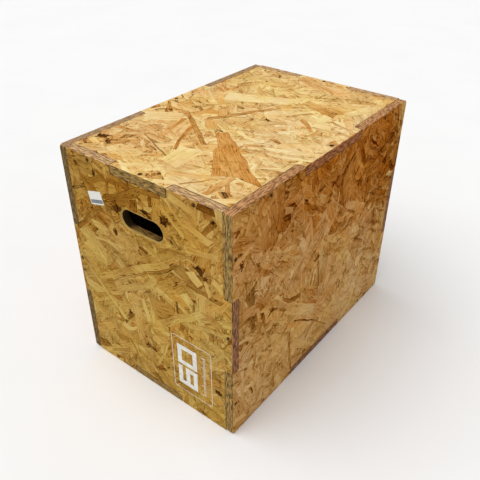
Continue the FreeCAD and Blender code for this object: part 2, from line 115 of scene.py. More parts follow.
class JumpBoxBoards(bpy.types.PropertyGroup):
    """Strands and tints of the boards."""

    strand_long: length("Long strand", "Typical length of a large strand", 0.090)
    strand_wide: length("Wide strand", "Typical width of a large strand", 0.020)
    sliver_long: length("Long sliver", "Typical length of a small strand", 0.042)
    sliver_wide: length("Wide sliver", "Typical width of a small strand", 0.006)
    loose_strands: bpy.props.IntProperty(
        name="Loose strands", description="Strands of mixed size per square metre before the gaps are filled",
        default=2900, min=0,
    )
    fibre: share("Fibre", "How strongly fine fibres show in a strand", 0.46)
    bands: share("Bands", "How strongly broad growth bands show in a strand", 0.41)
    flecks: share("Flecks", "How dark the flecks and splits in a strand are", 0.34)
    slivers: share("Slivers", "How strongly thin slivers on top of the strands stand out", 0.13)
    # The outline of a strand is partly dark gaps and partly painted shade.
    rim: share("Rim", "How dark the outline of a strand is", 0.36)
    bend: length("Bend", "How far the sides of the strands wander", 0.005)
    bend_over: length("Bend over", "Length over which they wander", 0.045)
    varnish: share("Varnish", "How strongly patches of thicker varnish yellow the boards", 0.55)
    varnish_tint: colour("Varnish tint", "Tint of thick varnish", (1.0, 0.97, 0.60))
    seam: length("Seam", "Bevel along the seams between boards", 0.0012)
    lid_dark: colour("Lid, dark", "Knots and bark in the top and bottom boards", (0.060, 0.028, 0.012))
    lid_brown: colour("Lid, brown", "Brown strands in the top and bottom boards", (0.535, 0.292, 0.090))
    lid_gold: colour("Lid, gold", "Common strands in the top and bottom boards", (0.80, 0.570, 0.265))
    lid_pale: colour("Lid, pale", "Pale strands in the top and bottom boards", (0.95, 0.790, 0.440))
    lid_warm: colour("Lid, warm", "Tint of the reddest strands in the top and bottom boards", (1.0, 0.70, 0.42))
    end_dark: colour("End, dark", "Knots and bark in the handle boards", (0.036, 0.014, 0.006))
    end_brown: colour("End, brown", "Brown strands in the handle boards", (0.295, 0.155, 0.030))
    end_gold: colour("End, gold", "Common strands in the handle boards", (0.535, 0.352, 0.104))
    end_pale: colour("End, pale", "Pale strands in the handle boards", (0.75, 0.572, 0.200))
    end_warm: colour("End, warm", "Tint of the reddest strands in the handle boards", (1.0, 0.70, 0.36))
    side_dark: colour("Side, dark", "Knots and bark in the side boards", (0.080, 0.022, 0.004))
    side_brown: colour("Side, brown", "Brown strands in the side boards", (0.36, 0.162, 0.033))
    side_gold: colour("Side, gold", "Common strands in the side boards", (0.61, 0.370, 0.158))
    side_pale: colour("Side, pale", "Pale strands in the side boards", (0.76, 0.530, 0.248))
    side_warm: colour("Side, warm", "Tint of the reddest strands in the side boards", (1.0, 0.63, 0.22))
    # Upper edges are tinted much lighter than the upright edges of the same sawn boards: painted light from above.
    end_top_light: colour("End top, light", "Light layers in the upper edges of the handle boards", (0.76, 0.490, 0.245))
    end_top_dark: colour("End top, dark", "Dark layers in the upper edges of the handle boards", (0.27, 0.145, 0.065))
    side_top_light: colour("Side top, light", "Light layers in the upper edges of the side boards", (0.66, 0.345, 0.155))
    side_top_dark: colour("Side top, dark", "Dark layers in the upper edges of the side boards", (0.23, 0.102, 0.039))
    end_edge_light: colour("End edge, light", "Light layers in sawn edges of the handle faces", (0.46, 0.280, 0.090))
    end_edge_dark: colour("End edge, dark", "Dark layers in sawn edges of the handle faces", (0.115, 0.073, 0.024))
    side_edge_light: colour("Side edge, light", "Light layers in sawn edges of the sides", (0.42, 0.195, 0.090))
    side_edge_dark: colour("Side edge, dark", "Dark layers in sawn edges of the sides", (0.115, 0.055, 0.029))
    left_edge_light: colour("Left edge, light", "Light layers in the upright edges of the left board", (0.27, 0.172, 0.070))
    left_edge_dark: colour("Left edge, dark", "Dark layers in the upright edges of the left board", (0.080, 0.052, 0.019))
    left_top_light: colour("Left top, light", "Light layers in the upper edge of the left board", (0.53, 0.34, 0.18))
    left_top_dark: colour("Left top, dark", "Dark layers in the upper edge of the left board", (0.26, 0.148, 0.070))
    lid_side_light: colour("Lid side, light", "Light layers in the edges of the lid at the sides", (0.50, 0.190, 0.066))
    lid_side_dark: colour("Lid side, dark", "Dark layers in the edges of the lid at the sides", (0.135, 0.051, 0.020))
    slot_light: colour("Slot, light", "Light layers in the walls of the hand slots", (0.34, 0.20, 0.055))
    slot_dark: colour("Slot, dark", "Dark layers in the walls of the hand slots", (0.13, 0.070, 0.018))
    eased: colour("Eased edge", "Sanded rim of the hand slots", (0.50, 0.325, 0.090))
    # Seam colour: dark dirt with painted shade of the gaps between the boards; the ends of the hand slots darken
    # towards it too.
    seam_dirt: colour("Seam", "Dirt in the seams", (0.016, 0.008, 0.006))


class JumpBoxScrews(bpy.types.PropertyGroup):
    """Screws that hold the boards."""

    head: length("Head", "Diameter of a head", 0.008)
    shank: length("Shank", "Diameter of a shank", 0.004)
    long: length("Length", "Head to point", 0.045)
    point: length("Point", "Length of the point", 0.006)
    rim: length("Rim", "Straight rim of the head", 0.0005)
    recess_arm: length("Recess arm", "Half the length of the cross recess", 0.0023)
    recess_wide: length("Recess width", "Width of an arm of the cross recess", 0.0011)
    recess_deep: length("Recess depth", "Depth of the cross recess", 0.0018)
    plating: colour("Plating", "Dull yellow plating", (0.155, 0.074, 0.024))
    grime_and_shade: colour("Grime", "Dust and varnish on the heads", (0.055, 0.028, 0.010))


class JumpBoxMarks(bpy.types.PropertyGroup):
    """Sticker and height mark on the handle face. Places are from the left and top edges of the face."""

    sticker_wide: length("Sticker width", "Along its longer side", 0.037)
    sticker_high: length("Sticker height", "Along its shorter side", 0.0265)
    sticker_across: length("Sticker across", "Middle of the sticker from the left edge", 0.0835)
    sticker_down: length("Sticker down", "Middle of the sticker from the top edge", 0.0830)
    sticker_turn: turn("Sticker turn", "Tilt of the sticker", 15)
    sticker_thick: length("Sticker thickness", "Thickness of the paper", 0.00012)
    paper: colour("Paper", "Blank paper", (0.81, 0.80, 0.74))
    band: colour("Band", "Grey band along the lower side of the sticker", (0.22, 0.24, 0.26))
    height_text: bpy.props.StringProperty(
        name="Height", description="Height of the box in centimetres, standing on its small end", default="60"
    )
    height_across: length("Height mark across", "Middle of the figures from the left edge", 0.2890)
    height_down: length("Height mark down", "Middle of the figures from the top edge", 0.3870)
    figure_wide: length("Figure width", "Width of one figure as it is read", 0.0500)
    figure_high: length("Figure height", "Height of one figure", 0.0490)
    figure_gap: length("Figure gap", "Gap between two figures", 0.0055)
    figure_stroke: length("Figure stroke", "Width of a stroke", 0.0105)
    frame_across: length("Frame across", "Middle of the frame from the left edge", 0.3005)
    frame_down: length("Frame down", "Middle of the frame from the top edge", 0.3865)
    frame_wide: length("Frame width", "Width of the frame round the mark", 0.099)
    frame_high: length("Frame height", "Height of the frame round the mark", 0.143)
    frame_corner: length("Frame corner", "Rounding of the frame", 0.007)
    frame_line: length("Frame line", "Width of the line", 0.0011)
    tick_across: length("Ticks across", "Middle of the row of ticks from the left edge", 0.330)
    tick_row: length("Tick row", "Length of the row of ticks", 0.105)
    tick_step: length("Tick step", "Distance between ticks", 0.005)
    tick_long: length("Tick length", "Length of a long tick", 0.010)
    tick_wide: length("Tick width", "Width of a tick", 0.0016)
    paint: colour("Paint", "White paint of the mark", (0.85, 0.83, 0.77))
    paint_thick: length("Paint thickness", "Thickness of the paint", 0.00005)
    sunk: length("Sunk", "How far the handle face lies back, so that paper and paint stay inside the box", 0.00015)


class JumpBoxStage(bpy.types.PropertyGroup):
    """Camera, light and floor."""

    eye: place("Eye", "Place of the camera", (0.64325, -0.85335, 0.94132))
    aim: place("Aim", "Point that the camera looks at", (-0.00037, -0.02169, 0.22514))
    roll: turn("Roll", "Tilt of the camera", 0.31)
    lens: bpy.props.FloatProperty(name="Lens", description="Focal length in millimetres", default=43.05)
    room_light: bpy.props.FloatProperty(name="Room light", description="Strength of the light all round", default=0.50)
    key_light: bpy.props.FloatProperty(name="Key light", description="Strength of the lamp overhead", default=1.75)
    key_from: place("Key from", "Direction that the lamp shines from", (-0.28, -0.36, 1.0))
    key_soft: turn("Key softness", "Apparent size of the lamp", 60)
    floor_wide: length("Floor", "Half the width of the floor", 8.0)
    floor: colour("Floor", "Pale floor", (0.96, 0.96, 0.96))


class Strand(NamedTuple):
    """A flat flake of wood in a board's face, in metres from the middle of the face."""

    across: float
    up: float
    long: float
    wide: float
    angle: float
    tone: float
    warmth: float
    taper: float = 0.0
    slant_a: float = 0.0
    slant_b: float = 0.0
    seed: float = 0.0
    # rim: how strongly this strand's outline (dark gaps and painted shade) and its painted highlight show.
    rim: float = 1.0
    cover: float = 1.0


# Each board: the directions to the right and up its outer face as one looks at it, the kind of its tints,
# the usual tone and warmth of its strands with their spread, the usual lie of the strands in degrees,
# the share of dark strands, how much slivers show on it, and stains that shift tone and warmth:
# middle and reach in millimetres from the left and top edges, then the two shifts.
BOARDS = {
    "top_panel": {
        "right": (1, 0, 0), "up": (0, 1, 0), "kind": "lid", "tone": (0.685, 0.088), "warmth": (0.20, 0.17), "lie": 15,
        "dark": 0.06, "slivers": 1.7,
        "stains": [
            (220, 60, 130, 90, -0.02, 0.15), (110, 320, 70, 80, -0.08, 0.12), (300, 500, 90, 80, -0.02, 0.1),
            (40, 545, 80, 90, -0.20, 0.10), (40, 340, 70, 130, -0.07, 0.0), (310, 320, 110, 200, 0.06, -0.06),
            (120, 185, 45, 40, -0.26, 0.05), (50, 150, 50, 70, 0.14, -0.08), (120, 70, 180, 110, 0.0, -0.12),
            (45, 42, 50, 40, -0.11, 0.04), (372, 36, 48, 42, -0.11, 0.12),
        ],
    },
    "front_panel": {
        "right": (1, 0, 0), "up": (0, 0, 1), "kind": "end", "tone": (0.60, 0.062), "warmth": (0.24, 0.16), "lie": 24,
        "dark": 0.05, "slivers": 1.2,
        "stains": [
            (180, 50, 120, 60, -0.16, 0.30), (40, 150, 60, 110, -0.08, 0.12), (335, 60, 80, 70, 0.06, 0.30),
            (240, 320, 70, 50, 0.10, 0.0), (215, 455, 100, 50, -0.13, 0.05), (375, 310, 40, 130, -0.07, 0.06),
            (45, 300, 60, 130, -0.02, -0.18), (230, 470, 230, 60, 0.02, -0.18),
            (255, 48, 36, 36, 0.15, -0.12), (118, 116, 36, 34, -0.09, 0.0), (100, 420, 110, 80, -0.04, 0.0),
        ],
    },
    "right_panel": {
        "right": (0, 1, 0), "up": (0, 0, 1), "kind": "side", "tone": (0.62, 0.062), "warmth": (0.16, 0.10), "lie": -45,
        "dark": 0.015, "slivers": 1.6,
        "stains": [
            (350, -20, 430, 170, -0.22, 0.60), (548, 160, 85, 130, -0.31, 0.28), (450, 80, 160, 110, -0.08, 0.28),
            (330, 270, 320, 80, -0.04, 0.03), (300, 470, 500, 130, 0.06, -0.08), (60, 238, 50, 42, -0.36, 0.03),
            (575, 340, 80, 190, 0.05, -0.25), (450, 440, 70, 50, 0.08, -0.05), (30, 300, 60, 260, 0.0, -0.12),
            (350, 185, 80, 42, 0.13, 0.0), (515, 50, 42, 42, 0.10, -0.10), (190, 320, 55, 42, -0.09, 0.0),
            (250, 118, 42, 36, -0.11, 0.05), (604, 60, 40, 100, 0.20, -0.60), (604, 200, 34, 70, 0.06, -0.40),
        ],
    },
    "back_panel": {
        "right": (-1, 0, 0), "up": (0, 0, 1), "kind": "end", "tone": (0.60, 0.10), "warmth": (0.24, 0.17), "lie": -20,
        "dark": 0.05, "slivers": 1.2,
        "stains": [(260, 80, 140, 80, -0.12, 0.25), (90, 380, 100, 90, -0.06, 0.1)],
    },
    "left_panel": {
        "right": (0, -1, 0), "up": (0, 0, 1), "kind": "side", "tone": (0.58, 0.08), "warmth": (0.18, 0.13), "lie": 35,
        "dark": 0.03, "slivers": 1.6,
        "stains": [(200, 60, 240, 120, -0.12, 0.35), (470, 400, 130, 110, -0.06, 0.15)],
    },
    "bottom_panel": {
        "right": (1, 0, 0), "up": (0, -1, 0), "kind": "lid", "tone": (0.66, 0.12), "warmth": (0.20, 0.18), "lie": -30,
        "dark": 0.06, "slivers": 1.7,
        "stains": [(150, 200, 120, 120, -0.06, 0.15)],
    },
}

# Strands that lie on top of the rest, by board: the two ends in millimetres from the left and top edges,
# then width, tone, warmth and, for one that narrows to its second end, its width there.
TOP_STRANDS = {
    "top_panel": [
        (336, 503, 200, 378, 58, 0.43, 0.78, 20, 1.16),
        (306, 518, 236, 436, 26, 0.46, 0.75, 12),
        (345, 588, 396, 548, 14, 0.84, 0.15),
        (22, 526, 44, 533, 9, 0.02, 0.30, 4),
        (72, 541, 51, 529, 9, 0.04, 0.30, 4),
        (226, 272, 238, 279, 6, 0.10, 0.50, 3),
        (207, 222, 135, 347, 12, 0.36, 0.50),
        (72, 338, 206, 438, 10, 0.36, 0.55),
        (97, 372, 122, 462, 10, 0.44, 0.80),
        (130, 378, 180, 487, 12, 0.44, 0.80, 7),
        (106, 296, 103, 352, 16, 0.50, 0.60),
        (75, 305, 100, 320, 6, 0.22, 0.50),
        (82, 222, 222, 160, 42, 0.79, 0.08),
        (20, 408, 88, 370, 40, 0.80, 0.10),
        (207, 462, 209, 536, 44, 0.80, 0.06),
        (238, 148, 326, 176, 26, 0.50, 0.50),
        (280, 235, 332, 270, 11, 0.50, 0.55),
        (338, 206, 396, 226, 6, 0.44, 0.45),
        (325, 508, 326, 577, 17, 0.52, 0.55, 12),
        (325, 519, 353, 551, 8, 0.42, 0.65),
        (301, 535, 274, 576, 4, 0.40, 0.45),
        (90, 472, 186, 515, 3, 0.24, 0.50),
        (104, 145, 150, 170, 9, 0.46, 0.40),
        (126, 160, 153, 176, 4, 0.30, 0.40),
        (304, 386, 397, 350, 13, 0.88, 0.05),
        (318, 402, 398, 376, 9, 0.90, 0.10),
        (124, 284, 152, 316, 22, 0.52, 0.50),
        (144, 345, 172, 373, 25, 0.58, 0.60),
        (148, 20, 244, 62, 30, 0.60, 0.45),
        (240, 20, 266, 36, 16, 0.64, 0.60),
        (330, 22, 376, 26, 8, 0.50, 0.60),
        (85, 96, 150, 84, 18, 0.56, 0.35),
        (20, 224, 45, 246, 18, 0.60, 0.55),
        (25, 545, 50, 556, 14, 0.76, 0.45),
        (54, 280, 66, 285, 4, 0.22, 0.50),
        (290, 344, 313, 352, 9, 0.42, 0.55),
        (240, 262, 262, 270, 9, 0.45, 0.50),
        (150, 392, 240, 405, 6, 0.42, 0.40),
        (20, 480, 150, 468, 10, 0.55, 0.45),
        (150, 540, 205, 505, 8, 0.55, 0.40),
    ],
    "front_panel": [
        (110, 76, 206, 26, 15, 0.28, 0.60),
        (104, 88, 172, 60, 11, 0.33, 0.55),
        (178, 30, 252, 20, 10, 0.33, 0.60),
        (60, 56, 112, 34, 12, 0.38, 0.45),
        (181, 50, 183, 78, 19, 0.27, 0.80),
        (113, 96, 152, 80, 8, 0.18, 0.50),
        (246, 36, 302, 80, 10, 0.70, 0.42),
        (298, 50, 357, 66, 15, 0.74, 0.45),
        (270, 12, 332, 26, 14, 0.70, 0.42),
        (262, 20, 330, 88, 6, 0.72, 0.42),
        (309, 144, 331, 162, 19, 0.86, 0.15),
        (360, 140, 382, 158, 10, 0.78, 0.30),
        (342, 150, 352, 178, 9, 0.76, 0.30),
        (331, 8, 367, 8, 13, 0.18, 0.95),
        (55, 276, 262, 150, 15, 0.60, 0.25),
        (70, 284, 245, 172, 5, 0.40, 0.30),
        (80, 302, 222, 214, 16, 0.62, 0.15),
        (228, 307, 332, 228, 19, 0.63, 0.12),
        (276, 150, 204, 196, 11, 0.34, 0.45),
        (10, 250, 126, 356, 11, 0.67, 0.10),
        (206, 278, 260, 274, 50, 0.50, 0.45),
        (300, 174, 380, 180, 10, 0.36, 0.45),
        (112, 130, 152, 152, 20, 0.62, 0.30),
        (30, 168, 90, 214, 32, 0.65, 0.00),
        (32, 200, 78, 220, 22, 0.70, 0.00),
        (14, 172, 96, 100, 11, 0.34, 0.40),
        (18, 152, 62, 108, 8, 0.40, 0.40),
        (165, 216, 187, 180, 6, 0.30, 0.35),
        (219, 225, 259, 240, 15, 0.73, 0.05),
        (270, 229, 273, 257, 5, 0.10, 0.35),
        (140, 234, 60, 270, 5, 0.26, 0.35),
        (345, 226, 377, 241, 19, 0.48, 0.40),
        (300, 271, 396, 244, 10, 0.64, 0.10),
        (240, 130, 300, 118, 9, 0.40, 0.40),
        (196, 140, 290, 170, 6, 0.62, 0.15),
        (100, 170, 140, 182, 10, 0.68, 0.05),
    ],
    "right_panel": [
        (128, 4, 133, 92, 21, 0.36, 0.70),
        (78, 44, 93, 112, 19, 0.43, 0.60),
        (69, 10, 76, 62, 9, 0.42, 0.65),
        (280, 126, 204, 74, 14, 0.18, 0.85, 4),
        (278, 243, 286, 326, 6, 0.30, 0.35, 3),
        (152, 258, 177, 280, 8, 0.28, 0.40),
        (172, 276, 213, 288, 11, 0.30, 0.40),
        (230, 370, 290, 410, 3, 0.26, 0.30),
        (288, 409, 342, 457, 3, 0.32, 0.30),
        (200, 345, 245, 380, 4, 0.30, 0.30),
        (165, 286, 396, 461, 27, 0.66, 0.12),
        (70, 205, 91, 236, 17, 0.38, 0.40),
        (26, 216, 72, 226, 20, 0.45, 0.45),
        (240, 330, 281, 360, 23, 0.46, 0.60),
        (510, 160, 552, 176, 22, 0.40, 0.60),
        (500, 118, 562, 150, 20, 0.25, 0.90),
        (556, 128, 592, 160, 11, 0.16, 0.90),
        (508, 182, 566, 214, 14, 0.30, 0.80),
        (520, 212, 588, 236, 12, 0.30, 0.70),
        (244, 20, 256, 46, 11, 0.42, 0.95),
        (270, 24, 291, 42, 8, 0.20, 0.90),
        (232, 10, 238, 50, 8, 0.22, 0.90),
        (258, 212, 352, 205, 7, 0.62, 0.30),
        (298, 206, 382, 216, 4, 0.36, 0.35),
        (534, 57, 563, 63, 5, 0.10, 1.00),
        (28, 345, 31, 432, 10, 0.66, 0.10),
        (75, 380, 79, 472, 12, 0.66, 0.10),
        (130, 398, 136, 482, 8, 0.46, 0.25),
        (184, 368, 197, 482, 8, 0.44, 0.25),
        (302, 108, 412, 196, 6, 0.48, 0.40),
        (340, 90, 356, 150, 8, 0.30, 0.85),
        (400, 30, 432, 86, 12, 0.27, 0.90),
        (440, 60, 520, 110, 14, 0.30, 0.90),
        (50, 412, 60, 436, 6, 0.24, 0.35),
        (430, 270, 470, 300, 10, 0.36, 0.35),
        (530, 330, 560, 372, 10, 0.40, 0.30),
    ],
}

# Knots: place in millimetres from the left and top edges, size and tone.
KNOTS = {
    "top_panel": [
        (36, 528, 23, 0.0), (61, 534, 20, 0.03), (230, 275, 10, 0.05), (30, 577, 7, 0.15), (187, 66, 7, 0.25),
        (97, 92, 7, 0.22), (262, 12, 6, 0.1), (300, 110, 6, 0.25),
    ],
    "front_panel": [
        (89, 32, 13, 0.05), (141, 84, 17, 0.02), (211, 64, 18, 0.04), (256, 66, 21, 0.05), (330, 130, 21, 0.10),
        (141, 327, 13, 0.08), (178, 391, 10, 0.10), (200, 396, 9, 0.12), (367, 404, 16, 0.06), (126, 138, 15, 0.08),
        (218, 433, 20, 0.20), (40, 25, 8, 0.2), (345, 142, 9, 0.15),
    ],
    "right_panel": [
        (25, 104, 13, 0.02), (273, 228, 16, 0.05), (426, 124, 9, 0.04), (296, 101, 9, 0.08), (379, 372, 9, 0.12),
        (12, 38, 14, 0.14), (150, 92, 7, 0.15), (520, 400, 8, 0.15), (90, 300, 8, 0.2), (575, 150, 14, 0.08),
        (340, 72, 9, 0.12),
    ],
}

SHAPE_TOLERANCE = 1e-5
FLAT = 1e-3
BORDER_STEP = 0.004
BEND_STEP = 0.010
BEND_SEED = 2
BLOCK_FIGURES = {
    "0": ("###", "#.#", "#.#", "#.#", "###"),
    "1": ("..#", "..#", "..#", "..#", "..#"),
    "2": ("###", "..#", "###", "#..", "###"),
    "3": ("###", "..#", "###", "..#", "###"),
    "4": ("#.#", "#.#", "###", "..#", "..#"),
    "5": ("###", "#..", "###", "..#", "###"),
    "6": ("###", "#..", "###", "#.#", "###"),
    "7": ("###", "..#", "..#", "..#", "..#"),
    "8": ("###", "#.#", "###", "#.#", "###"),
    "9": ("###", "#.#", "###", "..#", "###"),
}
TINTS = ("Dark", "Brown", "Gold", "Pale", "Warm")
# How much of the fibre, the bands and the flecks shows on each kind of board.
GRAIN_SHARES = {"lid": (1.8, 0.85, 0.65), "end": (1.15, 0.7, 1.0), "side": (0.9, 1.0, 1.0)}
# Turn in degrees, cells per metre along and across, and the share of the cells that show.
SLIVERS = ((32.0, 24.0, 150.0, 0.34), (-38.0, 30.0, 190.0, 0.30), (80.0, 40.0, 260.0, 0.22))
STRANDS, EDGE_A, EDGE_B, INNER, SEAM, EASED, CUT = range(7)
# Tints of a sawn edge by the axis across the board and the axis that the edge faces; upper edges get much lighter tints
# than the upright edges of the same boards, painted light from above.
EDGE_TINTS = {
    ("x", "y"): "end_edge", ("z", "y"): "end_edge", ("y", "x"): "side_edge", ("z", "x"): "side_edge",
    ("x", "z"): "side_top", ("y", "z"): "end_top",
}
# Boards with edges of their own tint, by the axis that the edge faces.
OWN_EDGES = {("left_panel", "y"): "left_edge", ("left_panel", "z"): "left_top", ("top_panel", "x"): "lid_side"}
# Where the painted shade at the two ends of a hand slot starts and is full, from its middle.
SLOT_SHADE_FROM, SLOT_SHADE_TO = 0.022, 0.040


@functools.cache
def face_frame(label):
    """Matrix from a board's own frame, with its outer face at height 0, to the room; and the size of the face."""
    right, up = Vector(BOARDS[label]["right"]), Vector(BOARDS[label]["up"])
    out = right.cross(up)
    low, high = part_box(label)
    size = high - low
    origin = (low + high) / 2 + out * (BOARD / 2)
    turned = Matrix((right, up, out)).transposed().to_4x4()
    return Matrix.Translation(origin) @ turned, abs(size.dot(right)), abs(size.dot(up))


def on_face(label, across, down):
    """Point in a board's own frame from its distance to the left and top edges."""
    _, wide, high = face_frame(label)
    return across - wide / 2, high / 2 - down


def node_copy(label):
    """Merged copy of a CAD node's mesh."""
    bm = bmesh.new()
    bm.from_mesh(frame["nodes"][label].data)
    bmesh.ops.remove_doubles(bm, verts=bm.verts, dist=SHAPE_TOLERANCE / 10)
    return bm


def make_piece(name, bm, materials, replaced=()):
    """Object from a bmesh, riding on the box."""
    mesh = bpy.data.meshes.new(name)
    bm.to_mesh(mesh)
    bm.free()
    for material in materials:
        mesh.materials.append(material)
    piece = bpy.data.objects.new(name, mesh)
    bpy.context.scene.collection.objects.link(piece)
    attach(piece, "root")
    if replaced:
        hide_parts(*replaced)
    return piece


# Strands


def strand_between(label, x0, y0, x1, y1, wide, tone, warmth, narrow=None, slant=None):
    """Strand from the two ends given for it in millimetres."""
    ax, ay = on_face(label, x0 * MM, y0 * MM)
    bx, by = on_face(label, x1 * MM, y1 * MM)
    long = math.hypot(bx - ax, by - ay)
    taper = 0.0 if narrow is None else (wide - narrow) * MM / long
    chance = random.Random(f"{label} {x0} {y0} {x1} {y1}")
    return Strand(
        (ax + bx) / 2, (ay + by) / 2, long, (wide + (narrow or wide)) / 2 * MM, math.atan2(by - ay, bx - ax), tone,
        warmth, taper / 2, chance.uniform(-0.7, 0.7), chance.uniform(-0.7, 0.7) if slant is None else slant,
        chance.random(), chance.uniform(0.4, 0.9), 0.45 * BOARDS[label]["slivers"],
    )


def knot(label, x, y, size, tone, warmth=0.7):
    """Dark knot: short wedges that lie roughly one way, the first ones the broadest and darkest."""
    chance = random.Random(f"{label} {x} {y}")
    lie = chance.uniform(0, math.pi)
    strands = []
    for number in range(9):
        core = number < 3
        angle = lie + chance.gauss(0, 0.5) + (math.pi if chance.random() < 0.5 else 0)
        half = size * (chance.uniform(0.26, 0.40) if core else chance.uniform(0.25, 0.60))
        wide = size * (chance.uniform(0.38, 0.56) if core else chance.uniform(0.14, 0.32))
        away = size * (0.10 if core else 0.22)
        middle_x, middle_y = x + chance.gauss(0, away), y + chance.gauss(0, away)
        dx, dy = math.cos(angle) * half, math.sin(angle) * half
        shade = tone + chance.uniform(0, 0.06 if core else 0.28)
        strands.append(
            strand_between(
                label, middle_x - dx, middle_y - dy, middle_x + dx, middle_y + dy, wide, shade, warmth, wide * 0.45
            )
        )
    return strands


def stained(board, x, y):
    """Usual tone and warmth at a place of a board, in millimetres from the left and top edges."""
    tone, warmth = board["tone"][0], board["warmth"][0]
    for middle_x, middle_y, reach_x, reach_y, tone_shift, warmth_shift in board["stains"]:
        near = math.exp(-(((x - middle_x) / reach_x) ** 2) - ((y - middle_y) / reach_y) ** 2)
        tone += tone_shift * near
        warmth += warmth_shift * near
    return tone, warmth


def loose_strand(chance, label, settings, across, up, share_large):
    """Strand of a random size, tone and lie at a place."""
    board = BOARDS[label]
    _, wide, high = face_frame(label)
    tone, warmth = stained(board, (across + wide / 2) / MM, (high / 2 - up) / MM)
    tone += chance.gauss(0, board["tone"][1])
    warmth += chance.gauss(0, board["warmth"][1])
    if chance.random() < board["dark"]:
        tone -= chance.uniform(0.1, 0.3)
        warmth += chance.uniform(0, 0.4)
    if chance.random() < share_large:
        long = settings.strand_long * chance.uniform(0.5, 1.5)
        broad = settings.strand_wide * chance.uniform(0.35, 1.6)
    else:
        long = settings.sliver_long * chance.uniform(0.35, 1.7)
        broad = settings.sliver_wide * chance.uniform(0.3, 1.8)
        tone += chance.choice((-0.14, -0.07, -0.03, 0, 0.06))
    lie = math.radians(board["lie"] + chance.gauss(0, 48))
    taper = chance.uniform(-0.6, 0.6) * broad / long
    return Strand(
        across, up, long, broad, lie, min(max(tone, 0.04), 0.98), min(max(warmth, 0), 1), taper,
        chance.gauss(0, 0.8), chance.gauss(0, 0.8), chance.random(), chance.uniform(0.2, 1.0),
        chance.uniform(0.3, 1.4) * board["slivers"],
    )


def strand_cuts(strand):
    """The four straight sides of a strand: a point and an outward normal for each."""
    along = Vector((math.cos(strand.angle), math.sin(strand.angle), 0))
    over = Vector((-along.y, along.x, 0))
    middle = Vector((strand.across, strand.up, 0))
    half_long, half_wide = strand.long / 2, strand.wide / 2
    return [
        (middle + over * half_wide, (over + along * strand.taper).normalized()),
        (middle - over * half_wide, (along * strand.taper - over).normalized()),
        (middle + along * half_long, (along + over * strand.slant_a).normalized()),
        (middle - along * half_long, (over * strand.slant_b - along).normalized()),
    ]


def rough_size(face):
    """Middle of a face and its reach from there."""
    middle = face.calc_center_median()
    return middle.x, middle.y, max((vert.co - middle).length for vert in face.verts)


def reached_faces(free, strand, cuts):
    """Free faces that a strand lies over."""
    cos, sin = math.cos(strand.angle), math.sin(strand.angle)
    reach_along = strand.long / 2 + strand.wide * 0.8
    reach_over = strand.wide / 2 + abs(strand.taper) * reach_along
    reached = []
    for face, (x, y, size) in free.items():
        dx, dy = x - strand.across, y - strand.up
        if abs(dx * cos + dy * sin) > reach_along + size or abs(dy * cos - dx * sin) > reach_over + size:
            continue
        apart = any(
            all((vert.co - point).dot(normal) > -SHAPE_TOLERANCE for vert in face.verts) for point, normal in cuts
        )
        if not apart:
            reached.append(face)
    return reached


def lay_strand(bm, free, strand, number, layer):
    """Cut a strand out of the free faces and mark what lies inside it."""
    cuts = strand_cuts(strand)
    inside = reached_faces(free, strand, cuts)
    for face in inside:
        del free[face]
    for point, normal in cuts:
        kept, crossed = [], []
        for face in inside:
            heights = [(vert.co - point).dot(normal) for vert in face.verts]
            if max(heights) < SHAPE_TOLERANCE:
                kept.append(face)
            elif min(heights) > -SHAPE_TOLERANCE:
                free[face] = rough_size(face)
            else:
                crossed.append(face)
        if crossed:
            geometry = {part for face in crossed for part in (*face.verts, *face.edges)}
            result = bmesh.ops.bisect_plane(
                bm, geom=[*crossed, *geometry], dist=SHAPE_TOLERANCE, plane_co=point, plane_no=normal
            )
            for face in result["geom"]:
                if not isinstance(face, bmesh.types.BMFace):
                    continue
                if (face.calc_center_median() - point).dot(normal) < 0:
                    kept.append(face)
                else:
                    free[face] = rough_size(face)
        inside = kept
    for face in inside:
        face[layer] = number


def cover_with_strands(bm, outer, label, settings, layer):
    """Cut the outer face of a board into strands, the topmost first, and return them in that order."""
    free = {face: rough_size(face) for face in outer}
    _, wide, high = face_frame(label)
    chance = random.Random(label)
    strands = [part for given in KNOTS.get(label, []) for part in knot(label, *given)]
    strands += [strand_between(label, *given) for given in TOP_STRANDS.get(label, [])]
    for _ in range(int(settings.loose_strands * wide * high)):
        across, up = chance.uniform(-wide / 2, wide / 2), chance.uniform(-high / 2, high / 2)
        strands.append(loose_strand(chance, label, settings, across, up, 0.45))
    for number, strand in enumerate(strands):
        lay_strand(bm, free, strand, number, layer)
    while free:
        x, y, _ = next(iter(free.values()))
        strands.append(loose_strand(chance, label, settings, x, y, 1.0))
        lay_strand(bm, free, strands[-1], len(strands) - 1, layer)
    return strands


STRAND_VALUES = ("tone", "warmth", "seed", "rim", "cover")
STRAND_MAPS = ("grain", "sides", "ends", "sheet")


def add_strand_layers(bm):
    """Room on the faces for the number and values of a strand, and its maps. Earlier face references are lost."""
    layer = bm.faces.layers.int.new("strand")
    for name in STRAND_VALUES:
        bm.faces.layers.float.new(name)
    for name in STRAND_MAPS:
        bm.loops.layers.uv.new(name)
    return layer


